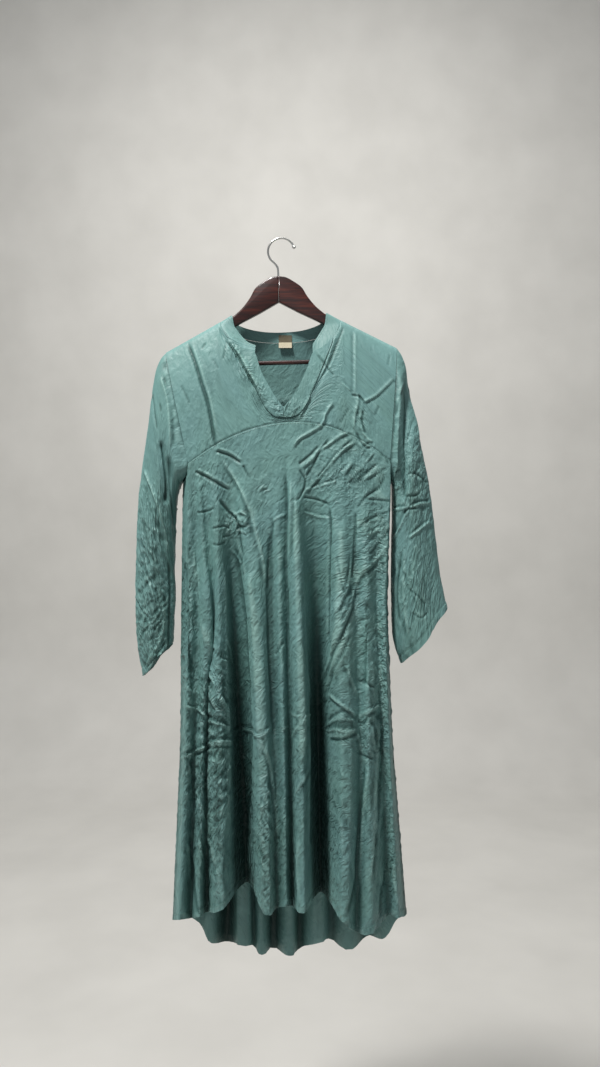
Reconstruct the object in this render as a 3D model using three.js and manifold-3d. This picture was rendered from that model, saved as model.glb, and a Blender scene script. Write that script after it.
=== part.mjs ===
// A midi dress on a wooden hanger, in millimetres, +Z up, with the front of the dress towards -Y.
// The origin is the seat of the hook: the inside top of its bend, where it rests on what holds it.
// Left and right are as seen from the front, so left is -X.
import * as THREE from "three";
import { mergeVertices } from "three/addons/utils/BufferGeometryUtils.js";
import Module from "manifold-3d";

const wasm = await Module();
wasm.setup();

// Driving sizes of the cloth
const CLOTH = 1.2; // wall of one layer, with its seam turnings
const BAND_CLOTH = 1.5; // wall of the neckband and the facings, which are double
const LABEL_CLOTH = 1;
const SEAM_GAP = 0.3; // between pieces that are sewn together
const SIDE_GAP = 0.5; // between front and back, and between body and sleeves, where the walls turn
const REST_GAP = 1.3; // between the cloth and the hanger that carries it
const CAP_RADIUS = 11; // bend of the cloth over a hanger arm
const CHEST_DEPTH = { front: 40, back: 42 }; // how far the cloth stands before and behind the hanger
const CHEST_FALL = 70; // height in which most of that depth is reached
const UNDERARM_Z = -431;
const HEM_SPREAD = { front: 18, back: 30 }; // how much further out the middle of the hem stands
const SKIRT_HEIGHT = 760; // underarm to the front hem

// Driving sizes of the hanger, in its own upright frame
const HANGER_TILT = 0.0253; // radians that its right arm is up
const HANGER_CENTRE_X = -6.6; // the arms' joint is this far from the seat of the hook
const ARM_THICKNESS = 11;
const ARM_ROUNDING = 2.5;
const SHOULDER_START = { out: 80, z: -134.9 }; // top of an arm where its straight slope starts
const SHOULDER_END = { out: 199, z: -197.8 };
const BAR = { radius: 4, z: -220, halfLength: 176, socketPlay: 0.3 };
const WIRE_RADIUS = 1.8;
const HOOK = { bend: 23.8, startDegrees: 18, endDegrees: 235, stepDegrees: 15.5, ball: 3.4 };
const STEM = { top: -58, bottom: -86, bendHeight: 8, bendOut: 1 };
const WIRE_STEPS = 44;

// The right arm's outline from the joint: over the hump, round the tip by curves, and back below.
const JOINT = { top: -66.5, bottom: -113 };
const HUMP = [
  { out: 13, z: -68.5 },
  { out: 25, z: -75 },
  { out: 41, z: -87 },
  { out: 51, z: -103.8 },
  { out: 64.5, z: -121 },
];
const TIP_START = { out: 195, z: -195.69 };
const TIP_CURVES = [
  { viaOut: 203, viaZ: -200, out: 203, z: -208 },
  { viaOut: 203, viaZ: -229, out: 186, z: -230 },
  { viaOut: 172, viaZ: -230, out: 164, z: -213 },
  { viaOut: 150, viaZ: -193, out: 110, z: -171 },
];
const UNDERSIDE = [
  { out: 70, z: -149.3 },
  { out: 34, z: -131.5 },
];

// Colours
const SATIN = { color: 0x7fa89b, roughness: 0.45, metalness: 0 };
const WOOD = { color: 0x2b120d, roughness: 0.35, metalness: 0 };
const STEEL = { color: 0xc9c9c6, roughness: 0.25, metalness: 1 };
const LABEL = { color: 0x8c7f68, roughness: 0.7, metalness: 0 };

// A row for each column of the front yoke from the shoulder's neck end to the foot of the V.
// x and drop place it on the neck edge, drop being its depth below the shoulder line, seamX is where
// it meets the arched seam, facing is the height of the facing on it, and even says how evenly its
// upper rows are spread: 0 crowds them over the bend on the hanger arm.
const NECK_LEFT = [
  { x: -108, drop: 0, seamX: -115, facing: 34, even: 0 },
  { x: -107.6, drop: 1, seamX: -109, facing: 30, even: 0 },
  { x: -106.8, drop: 4, seamX: -103, facing: 24, even: 0 },
  { x: -105, drop: 11, seamX: -97, facing: 17, even: 0.2 },
  { x: -101, drop: 21, seamX: -90, facing: 10, even: 0.6 },
  { x: -92, drop: 34, seamX: -81, facing: 6, even: 1 },
  { x: -70, drop: 51, seamX: -63, facing: 30, even: 1 },
  { x: -45, drop: 62, seamX: -43, facing: 63, even: 1 },
  { x: -34, drop: 94, seamX: -33, facing: 51, even: 1 },
  { x: -22, drop: 117, seamX: -22, facing: 46, even: 1 },
  { x: -8, drop: 141, seamX: -8, facing: 33, even: 1 },
  { x: 5, drop: 158, seamX: 5, facing: 18, even: 1 },
];
const NECK_RIGHT = [
  { x: 106.5, drop: 0, seamX: 120, facing: 34, even: 0 },
  { x: 106.1, drop: 1, seamX: 114, facing: 30, even: 0 },
  { x: 105.3, drop: 4, seamX: 108, facing: 24, even: 0 },
  { x: 103.6, drop: 11, seamX: 102, facing: 17, even: 0.2 },
  { x: 99.5, drop: 21, seamX: 95, facing: 10, even: 0.6 },
  { x: 91, drop: 35, seamX: 85, facing: 8, even: 1 },
  { x: 75, drop: 51, seamX: 70, facing: 34, even: 1 },
  { x: 56, drop: 63, seamX: 55, facing: 66, even: 1 },
  { x: 45, drop: 92, seamX: 45, facing: 60, even: 1 },
  { x: 34, drop: 117, seamX: 34, facing: 50, even: 1 },
  { x: 20, drop: 141, seamX: 20, facing: 34, even: 1 },
  { x: 5, drop: 158, seamX: 5, facing: 18, even: 1 },
];
// The first row of those tables that has a facing, and the row where the neckband ends.
const FACING_FROM = 5;
const BAND_END = 7;
// Shares of a shoulder column's upper stretch at which its rows lie, over the bend on the arm.
const CAP_SHARES = [0, 0.03, 0.115, 0.265, 1];

// The back's neck edge, a row for each column from one shoulder to the other.
const BACK_NECK = [
  { x: 106.5, drop: 0 },
  { x: 106.1, drop: 1 },
  { x: 105.3, drop: 4 },
  { x: 103, drop: 9 },
  { x: 92, drop: 17 },
  { x: 70, drop: 25 },
  { x: 40, drop: 31 },
  { x: 6, drop: 33 },
  { x: -28, drop: 32 },
  { x: -60, drop: 27 },
  { x: -86, drop: 18 },
  { x: -104.5, drop: 9 },
  { x: -106.8, drop: 4 },
  { x: -107.6, drop: 1 },
  { x: -108, drop: 0 },
];

// Rows of the back above the underarm: share of the height, and place on the armhole.
const BACK_UPPER = [
  { share: 0, place: 0 },
  { share: 0.005, place: 0.006 },
  { share: 0.019, place: 0.022 },
  { share: 0.045, place: 0.052 },
  { share: 0.11, place: 0.126 },
  { share: 0.2, place: 0.23 },
  { share: 0.33, place: 0.38 },
  { share: 0.5, place: 0.57 },
  { share: 0.7, place: 0.8 },
  { share: 0.873, place: 1 },
  { share: 0.96, place: 1.5 },
  { share: 1, place: 2 },
];

// Rows with a share up to this lie on the bend over the arms.
const BACK_BEND_SHARE = 0.045;

// Top edge of the neckband, a row for each place on the seam below it, from the hanger arm to the
// front opening on each side and from arm to arm round the back. lift is the height above the arm
// in the first ON_ARM_ROWS rows and above the level base in the rest.
const ON_ARM_ROWS = 3;
const BAND_TOP = {
  left: [
    { along: 0, x: -88, y: 0, lift: 2.9 },
    { along: 1, x: -87.4, y: -6, lift: 2.2 },
    { along: 2, x: -86, y: -10.5, lift: -1.2 },
    { along: 3, x: -82.5, y: -13, lift: -9 },
    { along: 4, x: -76, y: -15, lift: -19 },
    { along: 5, x: -66, y: -17.5, lift: -32 },
    { along: 6, x: -55, y: -20.5, lift: -42 },
    { along: 7, x: -44, y: -24, lift: -46.5 },
  ],
  right: [
    { along: 0, x: 81, y: 0, lift: 2.9 },
    { along: 1, x: 80.8, y: -6, lift: 2.2 },
    { along: 2, x: 80, y: -10.5, lift: -1.2 },
    { along: 3, x: 77.5, y: -13, lift: -9 },
    { along: 4, x: 73, y: -15, lift: -18 },
    { along: 5, x: 66, y: -17.5, lift: -30 },
    { along: 6, x: 60.5, y: -20.5, lift: -39 },
    { along: 7, x: 56, y: -24, lift: -46 },
  ],
  back: [
    { x: 81, y: 0, z: -132 },
    { x: 80.8, y: 6, z: -133 },
    { x: 80, y: 10.5, z: -136 },
    { x: 78, y: 13.5, z: -140 },
    { x: 70, y: 17, z: -147 },
    { x: 55, y: 20.5, z: -153 },
    { x: 34, y: 23, z: -158 },
    { x: 6, y: 24, z: -160.5 },
    { x: -24, y: 23.5, z: -160.5 },
    { x: -52, y: 21, z: -157 },
    { x: -72, y: 17, z: -151.5 },
    { x: -83, y: 13.5, z: -146 },
    { x: -86, y: 10.5, z: -142 },
    { x: -87.4, y: 6, z: -138.5 },
    { x: -88, y: 0, z: -137.3 },
  ],
};

// The arched seam across the front, and the armholes.
const ARCH = {
  middleX: 28,
  z: -330,
  leftX: -160,
  rightX: 190,
  leftDrop: 72,
  rightDrop: 67,
  power: 2.05,
};
const SHOULDER_TIP = { left: -204, right: 205 };
const UNDERARM = { left: -175, right: 194 };

// Folds of the front, a row for each crest, hollow or seam from left to right: x at four heights,
// and depth and height of the hem there. Negative depth is towards the front.
const FRONT_FOLDS = [
  { fold: "left seam", bust: -175, waist: -179, knee: -181, hem: -196, depth: 15, hemZ: -1219 },
  { fold: "edge", bust: -160, waist: -159, knee: -164, hem: -175, depth: -30, hemZ: -1197 },
  { fold: "hollow", bust: -150, waist: -143, knee: -151, hem: -160, depth: 0, hemZ: -1208 },
  { fold: "crest", bust: -141, waist: -127, knee: -136, hem: -141, depth: -40, hemZ: -1187 },
  { fold: "hollow", bust: -132, waist: -116, knee: -128, hem: -131, depth: -5, hemZ: -1195 },
  { fold: "crest", bust: -112, waist: -106, knee: -103, hem: -99, depth: -62, hemZ: -1165 },
  { fold: "deep hollow", bust: -88, waist: -85, knee: -74, hem: -63, depth: 38, hemZ: -1159 },
  { fold: "broad crest", bust: -60, waist: -47, knee: -36, hem: -25, depth: -78, hemZ: -1166 },
  { fold: "hollow", bust: -22, waist: -15, knee: -9, hem: -6, depth: -48, hemZ: -1168 },
  { fold: "crest", bust: -6, waist: -1, knee: 6, hem: 10, depth: -66, hemZ: -1158 },
  { fold: "hollow", bust: 10, waist: 13, knee: 18, hem: 22, depth: -38, hemZ: -1169 },
  { fold: "bright crest", bust: 26, waist: 30, knee: 37, hem: 40, depth: -88, hemZ: -1159 },
  { fold: "deep hollow", bust: 58, waist: 62, knee: 66, hem: 72, depth: 34, hemZ: -1176 },
  { fold: "broad crest", bust: 94, waist: 102, knee: 106, hem: 105, depth: -92, hemZ: -1171 },
  { fold: "hollow", bust: 124, waist: 132, knee: 139, hem: 130, depth: -50, hemZ: -1207 },
  { fold: "crest", bust: 146, waist: 149, knee: 151, hem: 154, depth: -72, hemZ: -1201 },
  { fold: "hollow", bust: 167, waist: 168, knee: 178, hem: 188, depth: -20, hemZ: -1194 },
  { fold: "edge", bust: 190, waist: 180, knee: 188, hem: 203, depth: -40, hemZ: -1189 },
  { fold: "right seam", bust: 194, waist: 190, knee: 200, hem: 226, depth: 15, hemZ: -1208 },
];
const FOLD_HEIGHTS = { bust: -430, waist: -650, knee: -890 };

// Folds of the back from right to left, at the hem. Higher up they narrow with the dress.
const BACK_FOLDS = [
  { fold: "right seam", hem: 226, depth: 15, hemZ: -1208 },
  { fold: "edge", hem: 212, depth: 52, hemZ: -1238 },
  { fold: "hollow", hem: 190, depth: 58, hemZ: -1276 },
  { fold: "crest", hem: 163, depth: 106, hemZ: -1295 },
  { fold: "hollow", hem: 126, depth: 74, hemZ: -1306 },
  { fold: "crest", hem: 93, depth: 102, hemZ: -1299 },
  { fold: "hollow", hem: 66, depth: 56, hemZ: -1284 },
  { fold: "crest", hem: 34, depth: 112, hemZ: -1322 },
  { fold: "hollow", hem: 14, depth: 78, hemZ: -1320 },
  { fold: "crest", hem: -18, depth: 122, hemZ: -1326 },
  { fold: "hollow", hem: -38, depth: 74, hemZ: -1316 },
  { fold: "crest", hem: -54, depth: 100, hemZ: -1312 },
  { fold: "hollow", hem: -72, depth: 60, hemZ: -1290 },
  { fold: "crest", hem: -105, depth: 118, hemZ: -1312 },
  { fold: "hollow", hem: -134, depth: 70, hemZ: -1290 },
  { fold: "crest", hem: -152, depth: 80, hemZ: -1262 },
  { fold: "edge", hem: -178, depth: 50, hemZ: -1228 },
  { fold: "left seam", hem: -196, depth: 15, hemZ: -1219 },
];

// Sections of the sleeves, a row for each ring below the armhole: its outer and inner points, how
// far it stands to the front and back, and how much of the armhole's own form it keeps.
const SLEEVE_SECTIONS = {
  left: [
    { outerX: -212, outerZ: -212, innerX: -178, innerZ: -437, front: 38, back: 40, armhole: 0.85 },
    { outerX: -221, outerZ: -232, innerX: -182, innerZ: -447, front: 38, back: 40, armhole: 0.6 },
    { outerX: -228, outerZ: -272, innerX: -185, innerZ: -466, front: 38, back: 42, armhole: 0.3 },
    { outerX: -235, outerZ: -328, innerX: -187, innerZ: -498, front: 38, back: 44, armhole: 0 },
    { outerX: -243, outerZ: -386, innerX: -188, innerZ: -530, front: 38, back: 46, armhole: 0 },
    { outerX: -250, outerZ: -440, innerX: -189, innerZ: -560, front: 38, back: 50, armhole: 0 },
    { outerX: -254, outerZ: -500, innerX: -189, innerZ: -590, front: 39, back: 53, armhole: 0 },
    { outerX: -256, outerZ: -560, innerX: -188, innerZ: -620, front: 40, back: 56, armhole: 0 },
    { outerX: -257, outerZ: -620, innerX: -188, innerZ: -648, front: 41, back: 58, armhole: 0 },
    { outerX: -256, outerZ: -680, innerX: -190, innerZ: -674, front: 42, back: 60, armhole: 0 },
    { outerX: -252, outerZ: -728, innerX: -191, innerZ: -696, front: 43, back: 62, armhole: 0 },
    { outerX: -243, outerZ: -776, innerX: -193, innerZ: -716, front: 44, back: 63, armhole: 0 },
  ],
  right: [
    { outerX: 213, outerZ: -205, innerX: 197, innerZ: -437, front: 38, back: 40, armhole: 0.85 },
    { outerX: 221, outerZ: -227, innerX: 198, innerZ: -447, front: 38, back: 40, armhole: 0.6 },
    { outerX: 229, outerZ: -272, innerX: 198, innerZ: -468, front: 38, back: 42, armhole: 0.3 },
    { outerX: 240, outerZ: -328, innerX: 198, innerZ: -500, front: 38, back: 44, armhole: 0 },
    { outerX: 252, outerZ: -384, innerX: 197, innerZ: -534, front: 38, back: 46, armhole: 0 },
    { outerX: 262, outerZ: -436, innerX: 196, innerZ: -568, front: 38, back: 50, armhole: 0 },
    { outerX: 269, outerZ: -486, innerX: 196, innerZ: -602, front: 39, back: 53, armhole: 0 },
    { outerX: 274, outerZ: -530, innerX: 196, innerZ: -636, front: 40, back: 56, armhole: 0 },
    { outerX: 279, outerZ: -572, innerX: 197, innerZ: -668, front: 41, back: 58, armhole: 0 },
    { outerX: 284, outerZ: -606, innerX: 198, innerZ: -698, front: 42, back: 60, armhole: 0 },
    { outerX: 289, outerZ: -632, innerX: 203, innerZ: -726, front: 43, back: 62, armhole: 0 },
    { outerX: 294, outerZ: -654, innerX: 214, innerZ: -754, front: 44, back: 63, armhole: 0 },
  ],
};
// Lengthwise folds of a sleeve: how many, how deep at the cuff, and how they are turned.
const SLEEVE_FOLDS = { count: 4, depth: 4.5, across: 0.6, turn: 0.9 };

// The label's place, and the rows of the two tables above at the middle of the back.
const LABEL_SPOT = { middleRow: 7, fromX: -4.5, toX: 19, topZ: -166, bottomZ: -189, columns: 4, rows: 4 };

// Down to this place on the armhole the wall ends of body and sleeve are turned alike.
const SHARED_NORMALS_TO = 0.85;

// Heights over which the front panel's columns leave its top edge, and its folds reach full depth.
const TOP_BLEND = { across: 60, depth: 90, folds: 30 };
const ROW_CROWDING = 1.15; // above 1, the front panel's rows are closer at the top
// The back hangs without folds down to this height, and its sides turn in over the given fall.
const BACK_BLEND = { startZ: -300, fall: 130, sideLines: 0.7, upperShare: 0.5 };

// How finely the pieces are divided.
const FOLD_STEPS = 3; // columns between two fold lines
const YOKE_LOWER_ROWS = 7;
const SHOULDER_COLUMNS = 6;
const PANEL_ROWS = 17;
const BACK_STEPS = 2; // columns between two rows of the back's top edge
const BACK_LOWER_ROWS = 11;
const BAND_ROWS = 3;

const vec = (x, y, z) => new THREE.Vector3(x, y, z);
const mix = THREE.MathUtils.lerp;
const clamp01 = (t) => THREE.MathUtils.clamp(t, 0, 1);

// The value between b and c at share t, on a smooth curve through a, b, c and d.
function smoothBetween(a, b, c, d, t) {
  const slopeB = (c - a) / 2;
  const slopeC = (d - b) / 2;
  const t2 = t * t;
  const t3 = t2 * t;
  const fromB = (2 * t3 - 3 * t2 + 1) * b + (t3 - 2 * t2 + t) * slopeB;
  return fromB + (3 * t2 - 2 * t3) * c + (t3 - t2) * slopeC;
}

// A table's column read at a row number that may lie between two rows.
function readTable(rows, column, at) {
  const low = Math.min(Math.floor(at), rows.length - 2);
  const value = (i) => rows[THREE.MathUtils.clamp(i, 0, rows.length - 1)][column];
  return smoothBetween(value(low - 1), value(low), value(low + 1), value(low + 2), at - low);
}

// A back edge's rows with BACK_STEPS steps between them.
function refined(rows) {
  const count = (rows.length - 1) * BACK_STEPS + 1;
  return Array.from({ length: count }, (_, i) =>
    Object.fromEntries(
      Object.keys(rows[0]).map((column) => [column, readTable(rows, column, i / BACK_STEPS)]),
    ),
  );
}

// Straight interpolation in a list of pairs [place, value] that runs up or down.
function readPairs(pairs, at) {
  const rising = pairs[1][0] > pairs[0][0];
  let i = 0;
  while (i < pairs.length - 2 && (rising ? at > pairs[i + 1][0] : at < pairs[i + 1][0])) i++;
  const [from, to] = [pairs[i], pairs[i + 1]];
  return mix(from[1], to[1], (at - from[0]) / (to[0] - from[0]));
}

// A point of the upright hanger as it hangs, turned about the seat of the hook.
function hung(x, z) {
  const c = Math.cos(HANGER_TILT);
  const s = Math.sin(HANGER_TILT);
  return { x: x * c - z * s, z: x * s + z * c };
}

// Top of the cloth over the hanger arms. Between the arms' slopes it is a level base for depths.
const shoulderEnds = [-1, 1].map((side) => ({
  inner: hung(HANGER_CENTRE_X + side * SHOULDER_START.out, SHOULDER_START.z),
  outer: hung(HANGER_CENTRE_X + side * SHOULDER_END.out, SHOULDER_END.z),
}));
function armTopZ(x) {
  const { inner, outer } = shoulderEnds[x < HANGER_CENTRE_X ? 0 : 1];
  return mix(inner.z, outer.z, (x - inner.x) / (outer.x - inner.x));
}
const shoulderZ = (x) => armTopZ(x) + REST_GAP + CLOTH;
const neckEnds = [NECK_LEFT[0].x, NECK_RIGHT[0].x].map((x) => [x, shoulderZ(x)]);
function baseZ(x) {
  if (x <= neckEnds[0][0] || x >= neckEnds[1][0]) return shoulderZ(x);
  return readPairs(neckEnds, x);
}

// How far the cloth stands from the hanger's middle plane at a drop below the shoulder line.
function chestDepth(drop, full) {
  const rest = 1 - clamp01(drop / CAP_RADIUS);
  const cap = CAP_RADIUS * Math.sqrt(Math.max(0, 1 - rest * rest));
  return cap + (full - CAP_RADIUS) * (1 - Math.exp(-Math.max(drop, 0) / CHEST_FALL));
}
const onFront = (x, z) => vec(x, -chestDepth(baseZ(x) - z, CHEST_DEPTH.front), z);
const onBack = (x, z) => vec(x, chestDepth(baseZ(x) - z, CHEST_DEPTH.back), z);

function archZ(x) {
  const left = x < ARCH.middleX;
  const reach = left ? ARCH.middleX - ARCH.leftX : ARCH.rightX - ARCH.middleX;
  const share = Math.abs(x - ARCH.middleX) / reach;
  return ARCH.z - (left ? ARCH.leftDrop : ARCH.rightDrop) * Math.pow(share, ARCH.power);
}

// The armhole's edge on one side, front or back: place 0 is the shoulder tip, 1 the end of the
// arched seam and 2 the underarm.
function armhole(side, face, place) {
  const tipX = SHOULDER_TIP[side];
  const tipZ = shoulderZ(tipX);
  const archX = side === "left" ? ARCH.leftX : ARCH.rightX;
  const on = face === "front" ? onFront : onBack;
  if (place <= 1) return on(mix(tipX, archX, place), mix(tipZ, archZ(archX), place));
  const end = on(archX, archZ(archX));
  const turn = ((place - 1) * Math.PI) / 2;
  return vec(
    mix(archX, UNDERARM[side], 1 - Math.cos(turn)),
    end.y * Math.cos(turn),
    mix(end.z, UNDERARM_Z, Math.sin(turn)),
  );
}

// Direction away from the dress at the armhole's upper edge, which the wall's end follows on both
// pieces so that the wall ends face each other.
function armholeNormal(side, face, place) {
  const step = 0.01;
  const before = armhole(side, face, Math.max(0, place - step));
  const after = armhole(side, face, place + step);
  const { inner, outer } = shoulderEnds[side === "left" ? 0 : 1];
  const slope = vec(outer.x - inner.x, 0, outer.z - inner.z);
  const normal = after.sub(before).cross(slope).normalize();
  const outwards = face === "front" ? vec(0, -1, 0.5) : vec(0, 1, 0.5);
  return normal.dot(outwards) < 0 ? normal.negate() : normal;
}

// Direction away from the dress on the neck edge, round the bend over the hanger arm.
function neckNormal(side, face, drop) {
  const rest = 1 - clamp01(drop / CAP_RADIUS);
  const lean = vec(0, face === "front" ? -1 : 1, 0).multiplyScalar(Math.sqrt(1 - rest * rest));
  return shoulderNormal(side).multiplyScalar(rest).add(lean).normalize();
}

// The same direction at a point of the cloth over the bend, and none below it.
function capNormal(side, face, point) {
  const drop = baseZ(point.x) - point.z;
  return drop < CAP_RADIUS ? neckNormal(side, face, Math.max(drop, 0)) : null;
}

function shoulderNormal(side) {
  const { inner, outer } = shoulderEnds[side === "left" ? 0 : 1];
  const normal = vec(inner.z - outer.z, 0, outer.x - inner.x).normalize();
  return normal.z < 0 ? normal.negate() : normal;
}

// Outward directions on a grid of points, whose rows run down and whose columns run round the
// body from left to right across the front.
function gridNormals(grid, ring) {
  const rows = grid.length;
  const columns = grid[0].length;
  const column = (c) => (ring ? (c + columns) % columns : THREE.MathUtils.clamp(c, 0, columns - 1));
  return grid.map((line, r) =>
    line.map((_, c) => {
      const across = grid[r][column(c + 1)].clone().sub(grid[r][column(c - 1)]);
      const down = grid[Math.min(r + 1, rows - 1)][c].clone().sub(grid[Math.max(r - 1, 0)][c]);
      return down.cross(across).normalize();
    }),
  );
}

// A grid moved out along its normals.
function movedOut(grid, distance) {
  const normals = gridNormals(grid, false);
  return grid.map((line, r) => line.map((p, c) => p.clone().addScaledVector(normals[r][c], distance)));
}

// A closed wall of cloth: the grid is its outer side, and edgeNormal may set the direction in which
// the wall's thickness runs at a point of an edge.
function clothWall(grid, thickness, { ring = false, edgeNormal = () => null } = {}) {
  const rows = grid.length;
  const columns = grid[0].length;
  const normals = gridNormals(grid, ring);
  const inner = grid.map((line, r) =>
    line.map((p, c) => p.clone().addScaledVector(edgeNormal(r, c) ?? normals[r][c], -thickness)),
  );
  const positions = [...grid.flat(), ...inner.flat()].flatMap((p) => [p.x, p.y, p.z]);
  const outside = (r, c) => r * columns + (c % columns);
  const inside = (r, c) => rows * columns + outside(r, c);
  const faces = [];
  const quad = (a, b, c, d) => faces.push(a, b, c, a, c, d);
  const lastColumn = ring ? columns : columns - 1;
  for (let r = 0; r < rows - 1; r++)
    for (let c = 0; c < lastColumn; c++) {
      quad(outside(r, c), outside(r + 1, c), outside(r + 1, c + 1), outside(r, c + 1));
      quad(inside(r, c), inside(r, c + 1), inside(r + 1, c + 1), inside(r + 1, c));
    }
  for (let c = 0; c < lastColumn; c++) {
    quad(outside(0, c), outside(0, c + 1), inside(0, c + 1), inside(0, c));
    quad(outside(rows - 1, c + 1), outside(rows - 1, c), inside(rows - 1, c), inside(rows - 1, c + 1));
  }
  if (!ring)
    for (let r = 0; r < rows - 1; r++) {
      quad(outside(r + 1, 0), outside(r, 0), inside(r, 0), inside(r + 1, 0));
      const last = columns - 1;
      quad(outside(r, last), outside(r + 1, last), inside(r + 1, last), inside(r, last));
    }
  const geometry = new THREE.BufferGeometry();
  geometry.setAttribute("position", new THREE.Float32BufferAttribute(positions, 3));
  geometry.setIndex(faces);
  return geometry;
}

// Columns of the yoke from left to right: where each starts, and how its rows are spread.
function yokeColumns() {
  const shoulder = (side, neck) =>
    Array.from({ length: SHOULDER_COLUMNS }, (_, i) => {
      const share = i / SHOULDER_COLUMNS;
      const archX = side === "left" ? ARCH.leftX : ARCH.rightX;
      const x = mix(SHOULDER_TIP[side], neck.x, share);
      return { x, drop: 0, seamX: mix(archX, neck.seamX, share), facing: neck.facing, even: 0 };
    });
  const left = [...shoulder("left", NECK_LEFT[0]), ...NECK_LEFT];
  const right = [...shoulder("right", NECK_RIGHT[0]), ...NECK_RIGHT];
  return { columns: [...left, ...right.slice(0, -1).reverse()], middle: left.length - 1 };
}

// The yoke's outer side. Its rows of the facing's height are followed by those down to the seam.
function yokeGrid() {
  const { columns } = yokeColumns();
  const upper = CAP_SHARES.length - 1;
  const rowCount = upper + YOKE_LOWER_ROWS;
  return Array.from({ length: rowCount + 1 }, (_, r) =>
    columns.map((column) => {
      const topZ = baseZ(column.x) - column.drop;
      const seamZ = archZ(column.seamX);
      const height = topZ - seamZ;
      const share =
        r <= upper
          ? (mix(CAP_SHARES[r], r / upper, column.even) * column.facing) / height
          : mix(column.facing / height, 1, (r - upper) / YOKE_LOWER_ROWS);
      return onFront(mix(column.x, column.seamX, share), mix(topZ, seamZ, share));
    }),
  );
}

function frontYoke() {
  const grid = yokeGrid();
  const { columns } = yokeColumns();
  const last = { row: grid.length - 1, column: grid[0].length - 1 };
  const tipZ = { left: grid[0][0].z, right: grid[0][last.column].z };
  const placeOf = (side, point) => {
    const endZ = archZ(side === "left" ? ARCH.leftX : ARCH.rightX);
    return clamp01((point.z - tipZ[side]) / (endZ - tipZ[side]));
  };
  return clothWall(grid, CLOTH, {
    edgeNormal(r, c) {
      if (r === last.row) return vec(0, -1, 0);
      const [fromLeft, fromRight] = [c - SHOULDER_COLUMNS, last.column - SHOULDER_COLUMNS - c];
      if (r === 0 && fromLeft <= BAND_END) return neckNormal("left", "front", columns[c].drop);
      if (r === 0 && fromRight <= BAND_END) return neckNormal("right", "front", columns[c].drop);
      if (c === 0) return armholeNormal("left", "front", placeOf("left", grid[r][c]));
      if (c === last.column) return armholeNormal("right", "front", placeOf("right", grid[r][c]));
      return capNormal(c < last.column / 2 ? "left" : "right", "front", grid[r][c]);
    },
  });
}

// One facing: the yoke's own points between its neck edge and the facing's edge, moved out.
function neckFacing(side) {
  const { middle } = yokeColumns();
  const first = SHOULDER_COLUMNS + FACING_FROM;
  const grid = yokeGrid().slice(0, CAP_SHARES.length);
  const count = grid[0].length;
  const lines = grid.map((line) =>
    side === "left" ? line.slice(first, middle + 1) : line.slice(middle, count - first),
  );
  const raised = movedOut(lines, SEAM_GAP + BAND_CLOTH);
  const shift = side === "left" ? -SEAM_GAP / 2 : SEAM_GAP / 2;
  const end = side === "left" ? raised[0].length - 1 : 0;
  raised.forEach((line) => (line[end].x += shift));
  return clothWall(raised, BAND_CLOTH);
}

// Share of a fold's full depth at a height: none at the arched seam, all at the hem.
function foldShare(z) {
  const fall = (FOLD_HEIGHTS.bust - z) / SKIRT_HEIGHT;
  if (fall < 0) return 0.05 * clamp01(1 + fall * (SKIRT_HEIGHT / 100));
  return 0.05 + 0.95 * Math.pow(Math.min(fall, 1), 0.9);
}
const skirtShare = (z) => Math.max(0, (UNDERARM_Z - z) / SKIRT_HEIGHT);

// x of a front fold line at a height.
function foldX(line, z) {
  const { bust, waist, knee } = FOLD_HEIGHTS;
  const read = (column) => readTable(FRONT_FOLDS, column, line);
  return readPairs(
    [
      [bust, read("bust")],
      [waist, read("waist")],
      [knee, read("knee")],
      [readTable(FRONT_FOLDS, "hemZ", line), read("hem")],
    ],
    Math.min(z, bust),
  );
}

// The side seam below the underarm.
function sideSeam(side, z) {
  const row = side === "left" ? 0 : FRONT_FOLDS.length - 1;
  return vec(foldX(row, z), FRONT_FOLDS[row].depth * skirtShare(z), z);
}

function frontPanel() {
  const lastLine = FRONT_FOLDS.length - 1;
  const lines = Array.from({ length: lastLine * FOLD_STEPS + 1 }, (_, i) => i / FOLD_STEPS);
  const topOf = (line) => {
    if (line < 1) return armhole("left", "front", 2 - line);
    if (line > lastLine - 1) return armhole("right", "front", 2 - (lastLine - line));
    const x = readTable(FRONT_FOLDS, "bust", line);
    return onFront(x, archZ(x));
  };
  const grid = Array.from({ length: PANEL_ROWS + 1 }, (_, r) =>
    lines.map((line) => {
      const top = topOf(line);
      const down = Math.pow(r / PANEL_ROWS, ROW_CROWDING);
      const z = mix(top.z - SEAM_GAP, readTable(FRONT_FOLDS, "hemZ", line), down);
      if (line === 0) return sideSeam("left", z);
      if (line === lastLine) return sideSeam("right", z);
      const side = clamp01(Math.min(line, lastLine - line));
      const x = mix(top.x, foldX(line, z), clamp01((top.z - z) / TOP_BLEND.across));
      const mean = -CHEST_DEPTH.front - HEM_SPREAD.front;
      const fold = (readTable(FRONT_FOLDS, "depth", line) - mean * side) * foldShare(z);
      const body = onFront(x, z).y - HEM_SPREAD.front * skirtShare(z);
      const edgeY = side < 1 ? mix(top.y, 0, clamp01((top.z - z) / TOP_BLEND.depth)) : top.y;
      const y = mix(edgeY, body, side) + fold * clamp01((top.z - z) / TOP_BLEND.folds);
      return vec(x, r === 0 ? top.y : y, z);
    }),
  );
  const lastColumn = lines.length - 1;
  return clothWall(grid, CLOTH, {
    edgeNormal(r, c) {
      if (c === 0) return vec(-1, 0, 0);
      if (c === lastColumn) return vec(1, 0, 0);
      return r === 0 && c >= FOLD_STEPS && c <= lastColumn - FOLD_STEPS ? vec(0, -1, 0) : null;
    },
  });
}

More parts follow.
